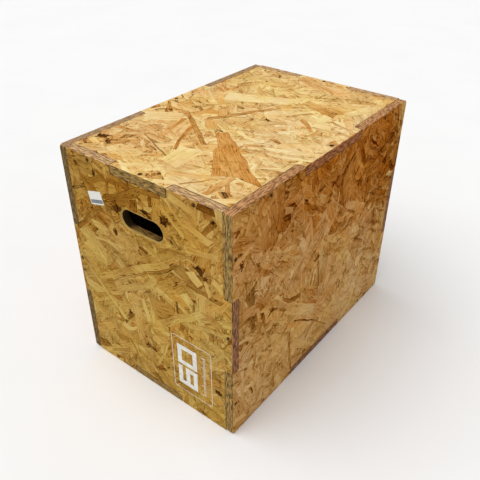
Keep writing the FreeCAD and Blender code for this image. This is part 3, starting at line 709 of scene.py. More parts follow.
def give_strands_their_grain(bm, outer, strands, layer):
    """Values of its strand on each face, and maps of the place along a strand and of the way to its sides."""
    values = {name: bm.faces.layers.float[name] for name in STRAND_VALUES}
    grain, sides, ends, sheet = (bm.loops.layers.uv[name] for name in STRAND_MAPS)
    cuts = [strand_cuts(strand) for strand in strands]
    for face in outer:
        strand = strands[face[layer]]
        for name, value in values.items():
            face[value] = getattr(strand, name)
        cos, sin = math.cos(strand.angle), math.sin(strand.angle)
        for loop in face.loops:
            dx, dy = loop.vert.co.x - strand.across, loop.vert.co.y - strand.up
            loop[grain].uv = (dx * cos + dy * sin, dy * cos - dx * sin)
            ways = [(point - loop.vert.co).dot(normal) for point, normal in cuts[face[layer]]]
            loop[sheet].uv = loop.vert.co.xy
            loop[sides].uv = ways[:2]
            loop[ends].uv = ways[2:]


def bend_strands(bm, outer, settings, label):
    """Let the sides of the strands wander, less and less towards the border of the face."""
    inside = set(outer)
    edges = {edge for face in outer for edge in face.edges}
    border = [edge for edge in edges if any(face not in inside for face in edge.link_faces)]
    points = []
    for edge in border:
        first, second = (vert.co for vert in edge.verts)
        steps = max(1, int(edge.calc_length() / BORDER_STEP))
        points += [first.lerp(second, step / steps) for step in range(steps + 1)]
    nearest = kdtree.KDTree(len(points))
    for number, point in enumerate(points):
        nearest.insert(point, number)
    nearest.balance()
    smooth_noise.seed_set(BEND_SEED)
    salt = 10 * list(BOARDS).index(label)
    for vert in {vert for face in outer for vert in face.verts}:
        reach = min(nearest.find(vert.co)[2] / settings.bend_over * 2, 1.0)
        slow = Vector((vert.co.x, vert.co.y, 0)) / settings.bend_over + Vector((0, 0, salt))
        push = smooth_noise.noise_vector(slow) + smooth_noise.noise_vector(slow * 2.7) * 0.4
        vert.co += Vector((push.x, push.y, 0)) * settings.bend * reach * reach * (3 - 2 * reach)


def split_long_sides(bm, outer):
    """Points along the long sides of the strands, so that they can bend."""
    groups = {}
    inside = set(outer)
    for edge in {edge for face in outer for edge in face.edges}:
        cuts = int(edge.calc_length() / BEND_STEP)
        if cuts and all(face in inside for face in edge.link_faces):
            groups.setdefault(cuts, []).append(edge)
    for cuts, edges in groups.items():
        bmesh.ops.bisect_edges(bm, edges=edges, cuts=cuts)


# Materials


def add_node(tree, kind, inputs=None, **settings):
    """Node with its settings, and with values or links on its inputs."""
    made = tree.nodes.new(kind)
    for key, value in settings.items():
        setattr(made, key, value)
    for key, value in (inputs or {}).items():
        if isinstance(value, bpy.types.NodeSocket):
            tree.links.new(value, made.inputs[key])
        else:
            made.inputs[key].default_value = value
    return made


def calculate(tree, operation, *values, clamp=False):
    """Output of a math node."""
    return add_node(
        tree, "ShaderNodeMath", dict(enumerate(values)), operation=operation, use_clamp=clamp
    ).outputs[0]


def blend_colours(tree, factor, first, second, blend="MIX"):
    """Output of a colour mix."""
    inputs = {0: factor, 6: first, 7: second}
    return add_node(tree, "ShaderNodeMix", inputs, data_type="RGBA", blend_type=blend).outputs[2]


def spread(tree, value, low, high, to_low=0.0, to_high=1.0):
    """Smooth step of a value from one range to another."""
    inputs = {"Value": value, "From Min": low, "From Max": high, "To Min": to_low, "To Max": to_high}
    return add_node(tree, "ShaderNodeMapRange", inputs, interpolation_type="SMOOTHSTEP").outputs[0]


def noise(tree, vector, scale=1.0, detail=2.0, roughness=0.5):
    """Value of a noise texture."""
    inputs = {"Vector": vector, "Scale": scale, "Detail": detail, "Roughness": roughness}
    return add_node(tree, "ShaderNodeTexNoise", inputs).outputs[0]


def new_group(name, inputs, outputs):
    """Empty node group with named sockets; returns the group and its input and output nodes."""
    group = bpy.data.node_groups.new(name, "ShaderNodeTree")
    for socket, kind in inputs.items():
        group.interface.new_socket(socket, in_out="INPUT", socket_type=f"NodeSocket{kind}")
    for socket, kind in outputs.items():
        group.interface.new_socket(socket, in_out="OUTPUT", socket_type=f"NodeSocket{kind}")
    return group, add_node(group, "NodeGroupInput"), add_node(group, "NodeGroupOutput")


def rgba(tint):
    """Colour with full alpha."""
    return (*tint, 1.0)


def strand_fibres_group():
    """Fibres, growth bands and the outline of each strand, partly dark gaps and partly painted shade, with a painted
    highlight along one side.
    """
    group, given, result = new_group(
        "strand fibres",
        {"Fibre": "Float", "Bands": "Float", "Flecks": "Float", "Rim": "Float"},
        {"Tone": "Float", "Warmth": "Float", "Outline": "Float", "Fibres": "Float"},
    )
    tone = add_node(group, "ShaderNodeAttribute", attribute_name="tone").outputs["Fac"]
    warmth = add_node(group, "ShaderNodeAttribute", attribute_name="warmth").outputs["Fac"]
    seed = add_node(group, "ShaderNodeAttribute", attribute_name="seed").outputs["Fac"]
    rim = add_node(group, "ShaderNodeAttribute", attribute_name="rim").outputs["Fac"]

    def mapped(name):
        vector = add_node(group, "ShaderNodeUVMap", uv_map=name).outputs[0]
        return add_node(group, "ShaderNodeSeparateXYZ", {0: vector}).outputs

    along, over, _ = mapped("grain")
    offset = calculate(group, "MULTIPLY", seed, 90.0)

    def streaks(per_metre_along, per_metre_over, detail, shifted):
        s = calculate(group, "MULTIPLY", along, per_metre_along)
        t = calculate(group, "MULTIPLY", shifted, per_metre_over)
        vector = add_node(group, "ShaderNodeCombineXYZ", {0: s, 1: t, 2: offset}).outputs[0]
        return noise(group, vector, 1.0, detail, 0.55)

    sway = calculate(group, "SUBTRACT", streaks(22.0, 12.0, 1.0, over), 0.5)
    shifted = calculate(group, "MULTIPLY_ADD", sway, 0.008, over)
    fibre = streaks(26.0, 420.0, 3.0, shifted)
    band = streaks(11.0, 120.0, 2.0, shifted)
    fleck = spread(group, streaks(55.0, 330.0, 2.0, shifted), 0.58, 0.70)
    glow = calculate(group, "SUBTRACT", streaks(9.0, 14.0, 1.0, over), 0.5)
    first_side, second_side, _ = mapped("sides")
    first_end, second_end, _ = mapped("ends")
    near_side = calculate(group, "MINIMUM", first_side, second_side)
    near_end = calculate(group, "MINIMUM", first_end, second_end)
    edge = calculate(group, "MINIMUM", near_side, near_end)
    # Dark outline at the edges of each strand: dark gaps between strands and painted shade.
    outline = calculate(group, "MULTIPLY", spread(group, edge, 0.0001, 0.0011, 1.0, 0.0), rim)
    # Painted highlight along one side of each strand, as if its edge caught the light.
    painted_highlight = calculate(group, "MULTIPLY", spread(group, second_side, 0.0008, 0.0026, 1.0, 0.0), rim)

    fibre_part = calculate(group, "MULTIPLY", calculate(group, "SUBTRACT", fibre, 0.5), given.outputs["Fibre"])
    band_part = calculate(group, "MULTIPLY", calculate(group, "SUBTRACT", band, 0.5), given.outputs["Bands"])
    rim_part = calculate(group, "MULTIPLY", outline, given.outputs["Rim"])
    fleck_part = calculate(group, "MULTIPLY", fleck, given.outputs["Flecks"])
    toned = calculate(group, "ADD", calculate(group, "ADD", tone, fibre_part), band_part)
    toned = calculate(group, "SUBTRACT", toned, calculate(group, "MAXIMUM", rim_part, fleck_part))
    toned = calculate(group, "MULTIPLY_ADD", glow, calculate(group, "MULTIPLY", given.outputs["Bands"], 1.2), toned)
    toned = calculate(group, "MULTIPLY_ADD", painted_highlight, 0.08, toned)
    toned = calculate(group, "MAXIMUM", calculate(group, "MINIMUM", toned, 1.0), 0.0)
    warmed = calculate(group, "SUBTRACT", warmth, calculate(group, "MULTIPLY", glow, 0.8), clamp=True)
    for name, value in {"Tone": toned, "Warmth": warmed, "Outline": outline, "Fibres": fibre}.items():
        group.links.new(value, result.inputs[name])
    return group


def slivers_group():
    """Thin slivers that lie one way over a sheet, some of its cells lighter and some darker than what is under them."""
    group, given, result = new_group(
        "slivers",
        {"Turn": "Float", "Along": "Float", "Over": "Float", "Share": "Float"},
        {"Shift": "Float"},
    )
    sheet = add_node(group, "ShaderNodeUVMap", uv_map="sheet").outputs[0]
    wander = add_node(group, "ShaderNodeTexNoise", {"Vector": sheet, "Scale": 28.0, "Detail": 2.0}).outputs["Color"]
    wander = add_node(group, "ShaderNodeVectorMath", {0: wander, 1: (0.5, 0.5, 0.5)}, operation="SUBTRACT").outputs[0]
    wander = add_node(group, "ShaderNodeVectorMath", {0: wander, 3: 0.022}, operation="SCALE").outputs[0]
    bent = add_node(group, "ShaderNodeVectorMath", {0: sheet, 1: wander}, operation="ADD").outputs[0]
    turned = add_node(
        group, "ShaderNodeVectorRotate", {"Vector": bent, "Angle": given.outputs["Turn"]}, rotation_type="Z_AXIS"
    ).outputs[0]
    along, over, _ = add_node(group, "ShaderNodeSeparateXYZ", {0: turned}).outputs
    s = calculate(group, "MULTIPLY", along, given.outputs["Along"])
    t = calculate(group, "MULTIPLY", over, given.outputs["Over"])
    place = add_node(group, "ShaderNodeCombineXYZ", {0: s, 1: t}).outputs[0]
    cells = add_node(group, "ShaderNodeTexVoronoi", {"Vector": place, "Scale": 1.0}, voronoi_dimensions="2D")
    way = add_node(
        group, "ShaderNodeTexVoronoi", {"Vector": place, "Scale": 1.0}, voronoi_dimensions="2D",
        feature="DISTANCE_TO_EDGE",
    ).outputs["Distance"]
    pick, shade, _ = add_node(group, "ShaderNodeSeparateColor", {0: cells.outputs["Color"]}).outputs
    mask = calculate(group, "LESS_THAN", pick, given.outputs["Share"])
    fine = add_node(group, "ShaderNodeVectorMath", {0: place, 1: (1.5, 4.0, 1.0)}, operation="MULTIPLY").outputs[0]
    fibre = calculate(group, "SUBTRACT", noise(group, fine, 1.0, 2.0, 0.6), 0.5)
    # Darker outline of each sliver: dark gaps and painted shade at its edges.
    outline = spread(group, way, 0.0, 0.16, 1.0, 0.0)
    shift = calculate(group, "SUBTRACT", calculate(group, "MULTIPLY_ADD", shade, 1.6, fibre), 0.85)
    shift = calculate(group, "SUBTRACT", shift, calculate(group, "MULTIPLY", outline, 0.8))
    cover = add_node(group, "ShaderNodeAttribute", attribute_name="cover").outputs["Fac"]
    shown = calculate(group, "MULTIPLY", calculate(group, "MULTIPLY", shift, mask), cover)
    group.links.new(shown, result.inputs["Shift"])
    return group


def strand_tint_group():
    """Colour of a strand from its tone and warmth, between four tints."""
    group, given, result = new_group(
        "strand tint",
        {"Tone": "Float", "Warmth": "Float", **{name: "Color" for name in TINTS}},
        {"Color": "Color"},
    )
    tone = given.outputs["Tone"]
    tint = given.outputs["Dark"]
    steps = {"Brown": (0.0, 0.30), "Gold": (0.30, 0.62), "Pale": (0.62, 1.0)}
    for name, (low, high) in steps.items():
        inputs = {"Value": tone, "From Min": low, "From Max": high}
        factor = add_node(group, "ShaderNodeMapRange", inputs).outputs[0]
        tint = blend_colours(group, factor, tint, given.outputs[name])
    warmed = blend_colours(group, given.outputs["Warmth"], tint, given.outputs["Warm"], "MULTIPLY")
    group.links.new(warmed, result.inputs["Color"])
    return group


def sawn_layers_group():
    """Thin layers of pressed strands as a sawn edge shows them, with pores."""
    group, given, result = new_group(
        "sawn layers", {"Place": "Vector"}, {"Layers": "Float", "Pores": "Float"}
    )
    layers = noise(group, given.outputs["Place"], 1.0, 4.0, 0.62)
    pores = spread(group, noise(group, given.outputs["Place"], 2.2, 2.0, 0.6), 0.60, 0.72)
    group.links.new(spread(group, layers, 0.40, 0.60), result.inputs["Layers"])
    group.links.new(pores, result.inputs["Pores"])
    return group


def wear_group():
    """Handling marks: slow patches of a duller surface, the same for every finish."""
    group, given, result = new_group("handling", {"Scale": "Float"}, {"Patches": "Float", "Specks": "Float"})
    here = add_node(group, "ShaderNodeTexCoord").outputs["Object"]
    patches = noise(group, here, given.outputs["Scale"], 3.0, 0.55)
    finer = calculate(group, "MULTIPLY", given.outputs["Scale"], 30.0)
    specks = noise(group, here, finer, 2.0, 0.6)
    group.links.new(spread(group, patches, 0.35, 0.65), result.inputs["Patches"])
    group.links.new(specks, result.inputs["Specks"])
    return group


def shared_group(name):
    """A node group, built the first time that it is asked for."""
    builders = {
        "strand fibres": strand_fibres_group,
        "slivers": slivers_group,
        "strand tint": strand_tint_group,
        "sawn layers": sawn_layers_group,
        "handling": wear_group,
    }
    return bpy.data.node_groups.get(name) or builders[name]()


def new_material(name):
    """Empty material with a Principled surface; returns the material, its tree and the surface."""
    material = bpy.data.materials.new(name)
    material.use_nodes = True
    tree = material.node_tree
    return material, tree, tree.nodes["Principled BSDF"]


def group_node(tree, name, inputs=None):
    """Shared group placed in a material."""
    made = add_node(tree, "ShaderNodeGroup", node_tree=shared_group(name))
    for key, value in (inputs or {}).items():
        if isinstance(value, bpy.types.NodeSocket):
            tree.links.new(value, made.inputs[key])
        else:
            made.inputs[key].default_value = value
    return made.outputs


def connect(tree, surface, **sockets):
    """Link outputs to the Principled surface by name."""
    for name, value in sockets.items():
        tree.links.new(value, surface.inputs[name.replace("_", " ")])


def bump(tree, height, distance, strength):
    """Normal from a height."""
    inputs = {"Height": height, "Distance": distance, "Strength": strength}
    return add_node(tree, "ShaderNodeBump", inputs).outputs[0]


def strand_material(kind, settings):
    """Varnished face of strands."""
    name = f"strands_{kind}"
    if name in bpy.data.materials:
        return bpy.data.materials[name]
    material, tree, surface = new_material(name)
    fibre, bands, flecks = GRAIN_SHARES[kind]
    fibres = group_node(
        tree, "strand fibres",
        {
            "Fibre": settings.fibre * fibre, "Bands": settings.bands * bands, "Flecks": settings.flecks * flecks,
            "Rim": settings.rim,
        },
    )
    tints = {tint: rgba(getattr(settings, f"{kind}_{tint.lower()}")) for tint in TINTS}
    tone = fibres["Tone"]
    for degrees, along, over, portion in SLIVERS:
        sliver = group_node(
            tree, "slivers", {"Turn": math.radians(degrees), "Along": along, "Over": over, "Share": portion}
        )
        tone = calculate(tree, "MULTIPLY_ADD", sliver["Shift"], settings.slivers, tone)
    tint = group_node(
        tree, "strand tint",
        {"Tone": tone, "Warmth": fibres["Warmth"], **tints},
    )
    wear = group_node(tree, "handling", {"Scale": 9.0})
    coated = calculate(tree, "MULTIPLY", wear["Patches"], settings.varnish)
    colour_out = blend_colours(tree, coated, tint["Color"], rgba(settings.varnish_tint), "MULTIPLY")
    rough = calculate(tree, "MULTIPLY_ADD", fibres["Fibres"], 0.18, 0.42)
    rough = calculate(tree, "MULTIPLY_ADD", wear["Patches"], 0.08, rough)
    relief = calculate(tree, "SUBTRACT", fibres["Fibres"], calculate(tree, "MULTIPLY", fibres["Outline"], 1.6))
    connect(
        tree, surface, Base_Color=colour_out, Roughness=rough, Normal=bump(tree, relief, 0.0002, 0.30),
    )
    surface.inputs["Specular IOR Level"].default_value = 0.0
    return material


def edge_material(label, axis, facing, settings):
    """Sawn edge of a board whose thickness lies along one axis of the room, facing along another or inside the box."""
    # The tint follows the way the edge faces; the lighter tints of upward edges are painted light.
    kind = OWN_EDGES.get((label, facing)) or EDGE_TINTS.get((axis, facing), "slot")
    name = f"sawn_{kind}_{axis}"
    if name in bpy.data.materials:
        return bpy.data.materials[name]
    dark, light = getattr(settings, f"{kind}_dark"), getattr(settings, f"{kind}_light")
    material, tree, surface = new_material(name)
    here = add_node(tree, "ShaderNodeTexCoord").outputs["Object"]
    scale = [70.0, 70.0, 70.0]
    scale["xyz".index(axis)] = 430.0
    layered = add_node(tree, "ShaderNodeMapping", {"Vector": here, "Scale": scale}).outputs[0]
    sawn = group_node(tree, "sawn layers", {"Place": layered})
    wear = group_node(tree, "handling", {"Scale": 14.0})
    tint = blend_colours(tree, sawn["Layers"], rgba(dark), rgba(light))
    pored = calculate(tree, "MULTIPLY", sawn["Pores"], 0.55)
    tint = blend_colours(tree, pored, tint, (0.05, 0.03, 0.02, 1.0))
    # Slot walls darken towards the two ends of the slot, blended towards the seam colour: painted shade.
    if kind == "slot":
        from_middle = calculate(tree, "ABSOLUTE", add_node(tree, "ShaderNodeSeparateXYZ", {0: here}).outputs["X"])
        grime_and_shade = spread(tree, from_middle, SLOT_SHADE_FROM, SLOT_SHADE_TO, 0.0, 0.9)
        tint = blend_colours(tree, grime_and_shade, tint, rgba(settings.seam_dirt))
    rough = calculate(tree, "MULTIPLY_ADD", wear["Patches"], 0.10, 0.62)
    relief = calculate(tree, "SUBTRACT", sawn["Layers"], sawn["Pores"])
    connect(tree, surface, Base_Color=tint, Roughness=rough, Normal=bump(tree, relief, 0.0004, 0.5))
    surface.inputs["Specular IOR Level"].default_value = 0.01
    return material


def eased_material(settings):
    """Sanded rim of a hand slot."""
    name = "eased_edge"
    if name in bpy.data.materials:
        return bpy.data.materials[name]
    material, tree, surface = new_material(name)
    wear = group_node(tree, "handling", {"Scale": 40.0})
    dulled = tuple(channel * 0.75 for channel in settings.eased)
    tint = blend_colours(tree, wear["Patches"], rgba(settings.eased), rgba(dulled))
    rough = calculate(tree, "MULTIPLY_ADD", wear["Specks"], 0.2, 0.5)
    connect(tree, surface, Base_Color=tint, Roughness=rough, Normal=bump(tree, wear["Specks"], 0.0002, 0.3))
    surface.inputs["Specular IOR Level"].default_value = 0.02
    return material


def seam_material(settings):
    """Dark dirt in the seams, with painted shade of the gaps between the boards."""
    name = "seam_dirt"
    if name in bpy.data.materials:
        return bpy.data.materials[name]
    material, tree, surface = new_material(name)
    wear = group_node(tree, "handling", {"Scale": 25.0})
    lighter = tuple(min(channel * 2.2, 1) for channel in settings.seam_dirt)
    tint = blend_colours(tree, wear["Patches"], rgba(settings.seam_dirt), rgba(lighter))
    rough = calculate(tree, "MULTIPLY_ADD", wear["Specks"], 0.2, 0.75)
    connect(tree, surface, Base_Color=tint, Roughness=rough, Normal=bump(tree, wear["Specks"], 0.0002, 0.3))
    surface.inputs["Specular IOR Level"].default_value = 0.02
    return material


def inside_material(settings):
    """Unvarnished inner faces and the brace."""
    name = "inner_board"
    if name in bpy.data.materials:
        return bpy.data.materials[name]
    material, tree, surface = new_material(name)
    here = add_node(tree, "ShaderNodeTexCoord").outputs["Object"]
    cells = add_node(
        tree, "ShaderNodeTexVoronoi",
        {"Vector": add_node(tree, "ShaderNodeMapping", {"Vector": here, "Scale": (14, 40, 26)}).outputs[0], "Scale": 1.0},
    ).outputs["Color"]
    tone = add_node(tree, "ShaderNodeSeparateColor", {0: cells}).outputs[0]
    wear = group_node(tree, "handling", {"Scale": 12.0})
    tint = blend_colours(tree, tone, rgba(settings.end_brown), rgba(settings.end_gold))
    tint = blend_colours(tree, calculate(tree, "MULTIPLY", wear["Specks"], 0.4), tint, rgba(settings.end_edge_dark))
    rough = calculate(tree, "MULTIPLY_ADD", wear["Patches"], 0.1, 0.7)
    connect(tree, surface, Base_Color=tint, Roughness=rough, Normal=bump(tree, wear["Specks"], 0.0003, 0.4))
    return material


def plated_material(settings):
    """Dull yellow plating with grime."""
    material, tree, surface = new_material("yellow_plating")
    wear = group_node(tree, "handling", {"Scale": 120.0})
    tint = blend_colours(tree, wear["Patches"], rgba(settings.plating), rgba(settings.grime_and_shade))
    metal = calculate(tree, "MULTIPLY_ADD", wear["Patches"], -0.1, 0.15)
    rough = calculate(tree, "MULTIPLY_ADD", wear["Specks"], 0.3, 0.42)
    connect(
        tree, surface, Base_Color=tint, Metallic=metal, Roughness=rough, Normal=bump(tree, wear["Specks"], 0.0001, 0.3)
    )
    surface.inputs["Specular IOR Level"].default_value = 0.12
    return material


def print_material(name, tint, worn, rough, scale):
    """Paper or paint: a nearly even colour with faint wear."""
    material, tree, surface = new_material(name)
    wear = group_node(tree, "handling", {"Scale": scale})
    dulled = tuple(channel * (1 - worn) for channel in tint)
    shade = blend_colours(tree, wear["Patches"], rgba(tint), rgba(dulled))
    roughness = calculate(tree, "MULTIPLY_ADD", wear["Specks"], 0.2, rough)
    connect(tree, surface, Base_Color=shade, Roughness=roughness, Normal=bump(tree, wear["Specks"], 0.00005, 0.3))
    surface.inputs["Specular IOR Level"].default_value = 0.3
    return material


# Operators


class JUMPBOX_OT_boards(bpy.types.Operator):
    """Build the six boards with their outer faces cut into strands"""

    bl_idname = "jumpbox.boards"
    bl_label = "Boards"

    def execute(self, context):
        """Make a dressed copy of each panel, and give the brace its finish."""
        settings = context.scene.jump_box_boards
        for label in BOARDS:
            self.board(label, settings, context.scene.jump_box_marks.sunk if label == "front_panel" else 0)
        brace = frame["nodes"]["center_brace"]
        brace.data.materials.clear()
        brace.data.materials.append(inside_material(settings))
        return {"FINISHED"}

    def board(self, label, settings, sunk):
        """One panel: strands on its outer face, sawn layers on its edges, dirt and painted shade in its seams."""
        to_room, _, _ = face_frame(label)
        bm = node_copy(label)
        bmesh.ops.dissolve_limit(bm, angle_limit=FLAT, verts=bm.verts, edges=bm.edges)
        axis = "xyz"[[abs(part) > 0.5 for part in to_room.col[2][:3]].index(True)]
        facings = [other for other in "xyz" if other != axis]
        self.sort_faces(bm, axis, facings)
        self.open_seams(bm, settings)
        layer = add_strand_layers(bm)
        bm.transform(to_room.inverted())
        bm.normal_update()
        strands = cover_with_strands(bm, self.outer_faces(bm, label), label, settings, layer)
        outer = self.outer_faces(bm, label)
        split_long_sides(bm, outer)
        give_strands_their_grain(bm, outer, strands, layer)
        bend_strands(bm, outer, settings, label)
        for face in outer:
            face.material_index = STRANDS
            face.smooth = False
        for vert in {vert for face in outer for vert in face.verts}:
            vert.co.z -= sunk
        bm.faces.layers.int.remove(layer)
        bm.transform(to_room)
        bm.normal_update()
        finishes = [
            strand_material(BOARDS[label]["kind"], settings),
            edge_material(label, axis, facings[0], settings),
            edge_material(label, axis, facings[1], settings),
            inside_material(settings),
            seam_material(settings),
            eased_material(settings),
            edge_material(label, axis, "cut", settings),
        ]
        piece = make_piece(label.replace("panel", "board"), bm, finishes, [label])
        piece.data.set_sharp_from_angle(angle=math.radians(30))

    def outer_faces(self, bm, label):
        """Flat outer faces of a board in its own frame."""
        outer = [
            face for face in bm.faces
            if face.normal.z > 0.999 and max(abs(vert.co.z) for vert in face.verts) < SHAPE_TOLERANCE
        ]
        if not outer:
            raise RuntimeError(f"{label} has no outer face")
        return outer

    def sort_faces(self, bm, axis, facings):
        """Finish of each face by the way that it faces."""
        thick = "xyz".index(axis)
        low, high = (Vector(corner) for corner in SLOT_BOX)
        first, second = ("xyz".index(facing) for facing in facings)
        for face in bm.faces:
            sizes = [abs(part) for part in face.normal]
            middle = face.calc_center_median()
            slot = Vector((0, middle.y, (low.z + high.z) / 2))
            depth = min(min(middle[way] - CAD_LOW[way], CAD_HIGH[way] - middle[way]) for way in (first, second))
            face.smooth = max(sizes) < 0.999
            if sizes[thick] > 0.999:
                face.material_index = INNER
            elif depth > BOARD / 2:
                rounded = sizes[thick] > 0.2 and (middle - slot).length < SLOT_REACH
                face.material_index = EASED if rounded else CUT
            else:
                face.material_index = EDGE_A if sizes[first] > sizes[second] else EDGE_B

    def open_seams(self, bm, settings):
        """Bevel the square edges that meet another board at the outside of the box."""
        walls = [(axis, limit[axis]) for axis in range(3) for limit in (CAD_LOW, CAD_HIGH)]
        seams = []
        for edge in bm.edges:
            if not edge.is_manifold or not edge.is_convex or abs(edge.calc_face_angle() - math.pi / 2) > 0.02:
                continue
            if any(all(abs(vert.co[axis] - limit) < SHAPE_TOLERANCE for vert in edge.verts) for axis, limit in walls):
                seams.append(edge)
        made = bmesh.ops.bevel(
            bm, geom=seams, offset=settings.seam, segments=1, profile=0.5, affect="EDGES", material=-1,
            clamp_overlap=True,
        )
        for face in made["faces"]:
            face.material_index = SEAM


class JUMPBOX_OT_screws(bpy.types.Operator):
    """Build the countersunk screws with cross recesses"""

    bl_idname = "jumpbox.screws"
    bl_label = "Screws"

    def execute(self, context):
        """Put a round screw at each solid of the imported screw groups."""
        settings = context.scene.jump_box_screws
        finish = plated_material(settings)
        for label in BOARDS:
            to_room, _, _ = face_frame(label)
            group = bmesh.new()
            for place in self.places(f"{label}_screws", to_room.inverted()):
                screw = self.screw(settings)
                screw.transform(to_room @ Matrix.Translation(place))
                mesh = bpy.data.meshes.new("screw")
                screw.to_mesh(mesh)
                screw.free()
                group.from_mesh(mesh)
                bpy.data.meshes.remove(mesh)
            piece = make_piece(f"{label}_round_screws", group, [finish], [f"{label}_screws"])
            piece.data.shade_smooth()
            piece.data.set_sharp_from_angle(angle=math.radians(35))
        return {"FINISHED"}

    def places(self, label, to_board):
        """Middle of each screw's head top, in the board's own frame."""
        bm = node_copy(label)
        bm.transform(to_board)
        waiting = set(bm.verts)
        places = []
        while waiting:
            found = {waiting.pop()}
            edge = list(found)
            while edge:
                vert = edge.pop()
                for link in vert.link_edges:
                    other = link.other_vert(vert)
                    if other in waiting:
                        waiting.remove(other)
                        found.add(other)
                        edge.append(other)
            low = [min(vert.co[axis] for vert in found) for axis in range(3)]
            high = [max(vert.co[axis] for vert in found) for axis in range(3)]
            places.append(Vector(((low[0] + high[0]) / 2, (low[1] + high[1]) / 2, high[2])))
        bm.free()
        return sorted(places, key=lambda place: (round(place.x, 4), round(place.y, 4)))

    def screw(self, settings):
        """One screw, the top of its head at height 0."""
        bm = bmesh.new()
        bmesh.ops.create_circle(bm, cap_ends=True, segments=24, radius=settings.head / 2)
        if bm.faces[:][0].normal.z < 0:
            bmesh.ops.reverse_faces(bm, faces=bm.faces)
        ring = list(bm.edges)
        shank = settings.shank / settings.head
        cone = settings.rim + (settings.head - settings.shank) / 2
        profile = [(1, settings.rim), (shank, cone), (shank, settings.long - settings.point), (0.08, settings.long)]
        for share_of_head, depth in profile:
            made = bmesh.ops.extrude_edge_only(bm, edges=ring)["geom"]
            ring = [part for part in made if isinstance(part, bmesh.types.BMEdge)]
            for vert in {vert for edge in ring for vert in edge.verts}:
                reach = Vector((vert.co.x, vert.co.y, 0)).normalized() * settings.head / 2 * share_of_head
                vert.co = (reach.x, reach.y, -depth)
        bmesh.ops.edgeloop_fill(bm, edges=ring)
        self.recess(bm, settings)
        bmesh.ops.recalc_face_normals(bm, faces=bm.faces)
        return bm

    def recess(self, bm, settings):
        """Sink a cross into the top of the head."""
        arm, half = settings.recess_arm, settings.recess_wide / 2
        for axis in (Vector((1, 0, 0)), Vector((0, 1, 0))):
            for reach in (-arm, -half, half, arm):
                top = [face for face in bm.faces if face.normal.z > 0.999 and abs(face.calc_center_median().z) < 1e-7]
                geometry = {part for face in top for part in (*face.verts, *face.edges)}
                bmesh.ops.bisect_plane(bm, geom=[*top, *geometry], dist=1e-7, plane_co=axis * reach, plane_no=axis)
        cross = []
        for face in bm.faces:
            middle = face.calc_center_median()
            if face.normal.z < 0.999 or abs(middle.z) > 1e-7:
                continue
            near, far = sorted((abs(middle.x), abs(middle.y)))
            if near < half and far < arm:
                cross.append(face)
        made = bmesh.ops.extrude_face_region(bm, geom=cross)["geom"]
        floor = [part for part in made if isinstance(part, bmesh.types.BMVert)]
        bmesh.ops.delete(bm, geom=[face for face in cross if face.is_valid], context="FACES_ONLY")
        for vert in floor:
            vert.co = (vert.co.x * 0.62, vert.co.y * 0.62, -settings.recess_deep)


class JUMPBOX_OT_sticker(bpy.types.Operator):
    """Build the blank sticker on the handle face"""

    bl_idname = "jumpbox.sticker"
    bl_label = "Sticker"

    def execute(self, context):
        """A sheet of paper with a grey band, its corners slightly rounded."""
        settings = context.scene.jump_box_marks
        bm = bmesh.new()
        bmesh.ops.create_grid(bm, x_segments=1, y_segments=1, size=0.5)
        bmesh.ops.scale(bm, vec=(settings.sticker_wide, settings.sticker_high, 1), verts=bm.verts)
        bmesh.ops.bevel(
            bm, geom=bm.verts[:], offset=1.2 * MM, segments=3, profile=0.5, affect="VERTICES", material=-1
        )
        for share_of_height in (-0.40, -0.12):
            bmesh.ops.bisect_plane(
                bm, geom=[*bm.verts, *bm.edges, *bm.faces], dist=1e-7,
                plane_co=(0, share_of_height * settings.sticker_high, 0), plane_no=(0, 1, 0),
            )
        for share_of_width in (-0.46, 0.46):
            bmesh.ops.bisect_plane(
                bm, geom=[*bm.verts, *bm.edges, *bm.faces], dist=1e-7,
                plane_co=(share_of_width * settings.sticker_wide, 0, 0), plane_no=(1, 0, 0),
            )
        for face in bm.faces:
            middle = face.calc_center_median()
            in_band = -0.40 < middle.y / settings.sticker_high < -0.12
            face.material_index = int(in_band and abs(middle.x) < 0.46 * settings.sticker_wide)
        thicken(bm, settings.sticker_thick)
        across, up = on_face("front_panel", settings.sticker_across, settings.sticker_down)
        to_room, _, _ = face_frame("front_panel")
        bm.transform(
            to_room @ Matrix.Translation((across, up, -settings.sunk)) @ Matrix.Rotation(settings.sticker_turn, 4, "Z")
        )
        paper = print_material("sticker_paper", settings.paper, 0.08, 0.45, 60.0)
        band = print_material("sticker_band", settings.band, 0.15, 0.45, 60.0)
        make_piece("blank_sticker", bm, [paper, band])
        return {"FINISHED"}


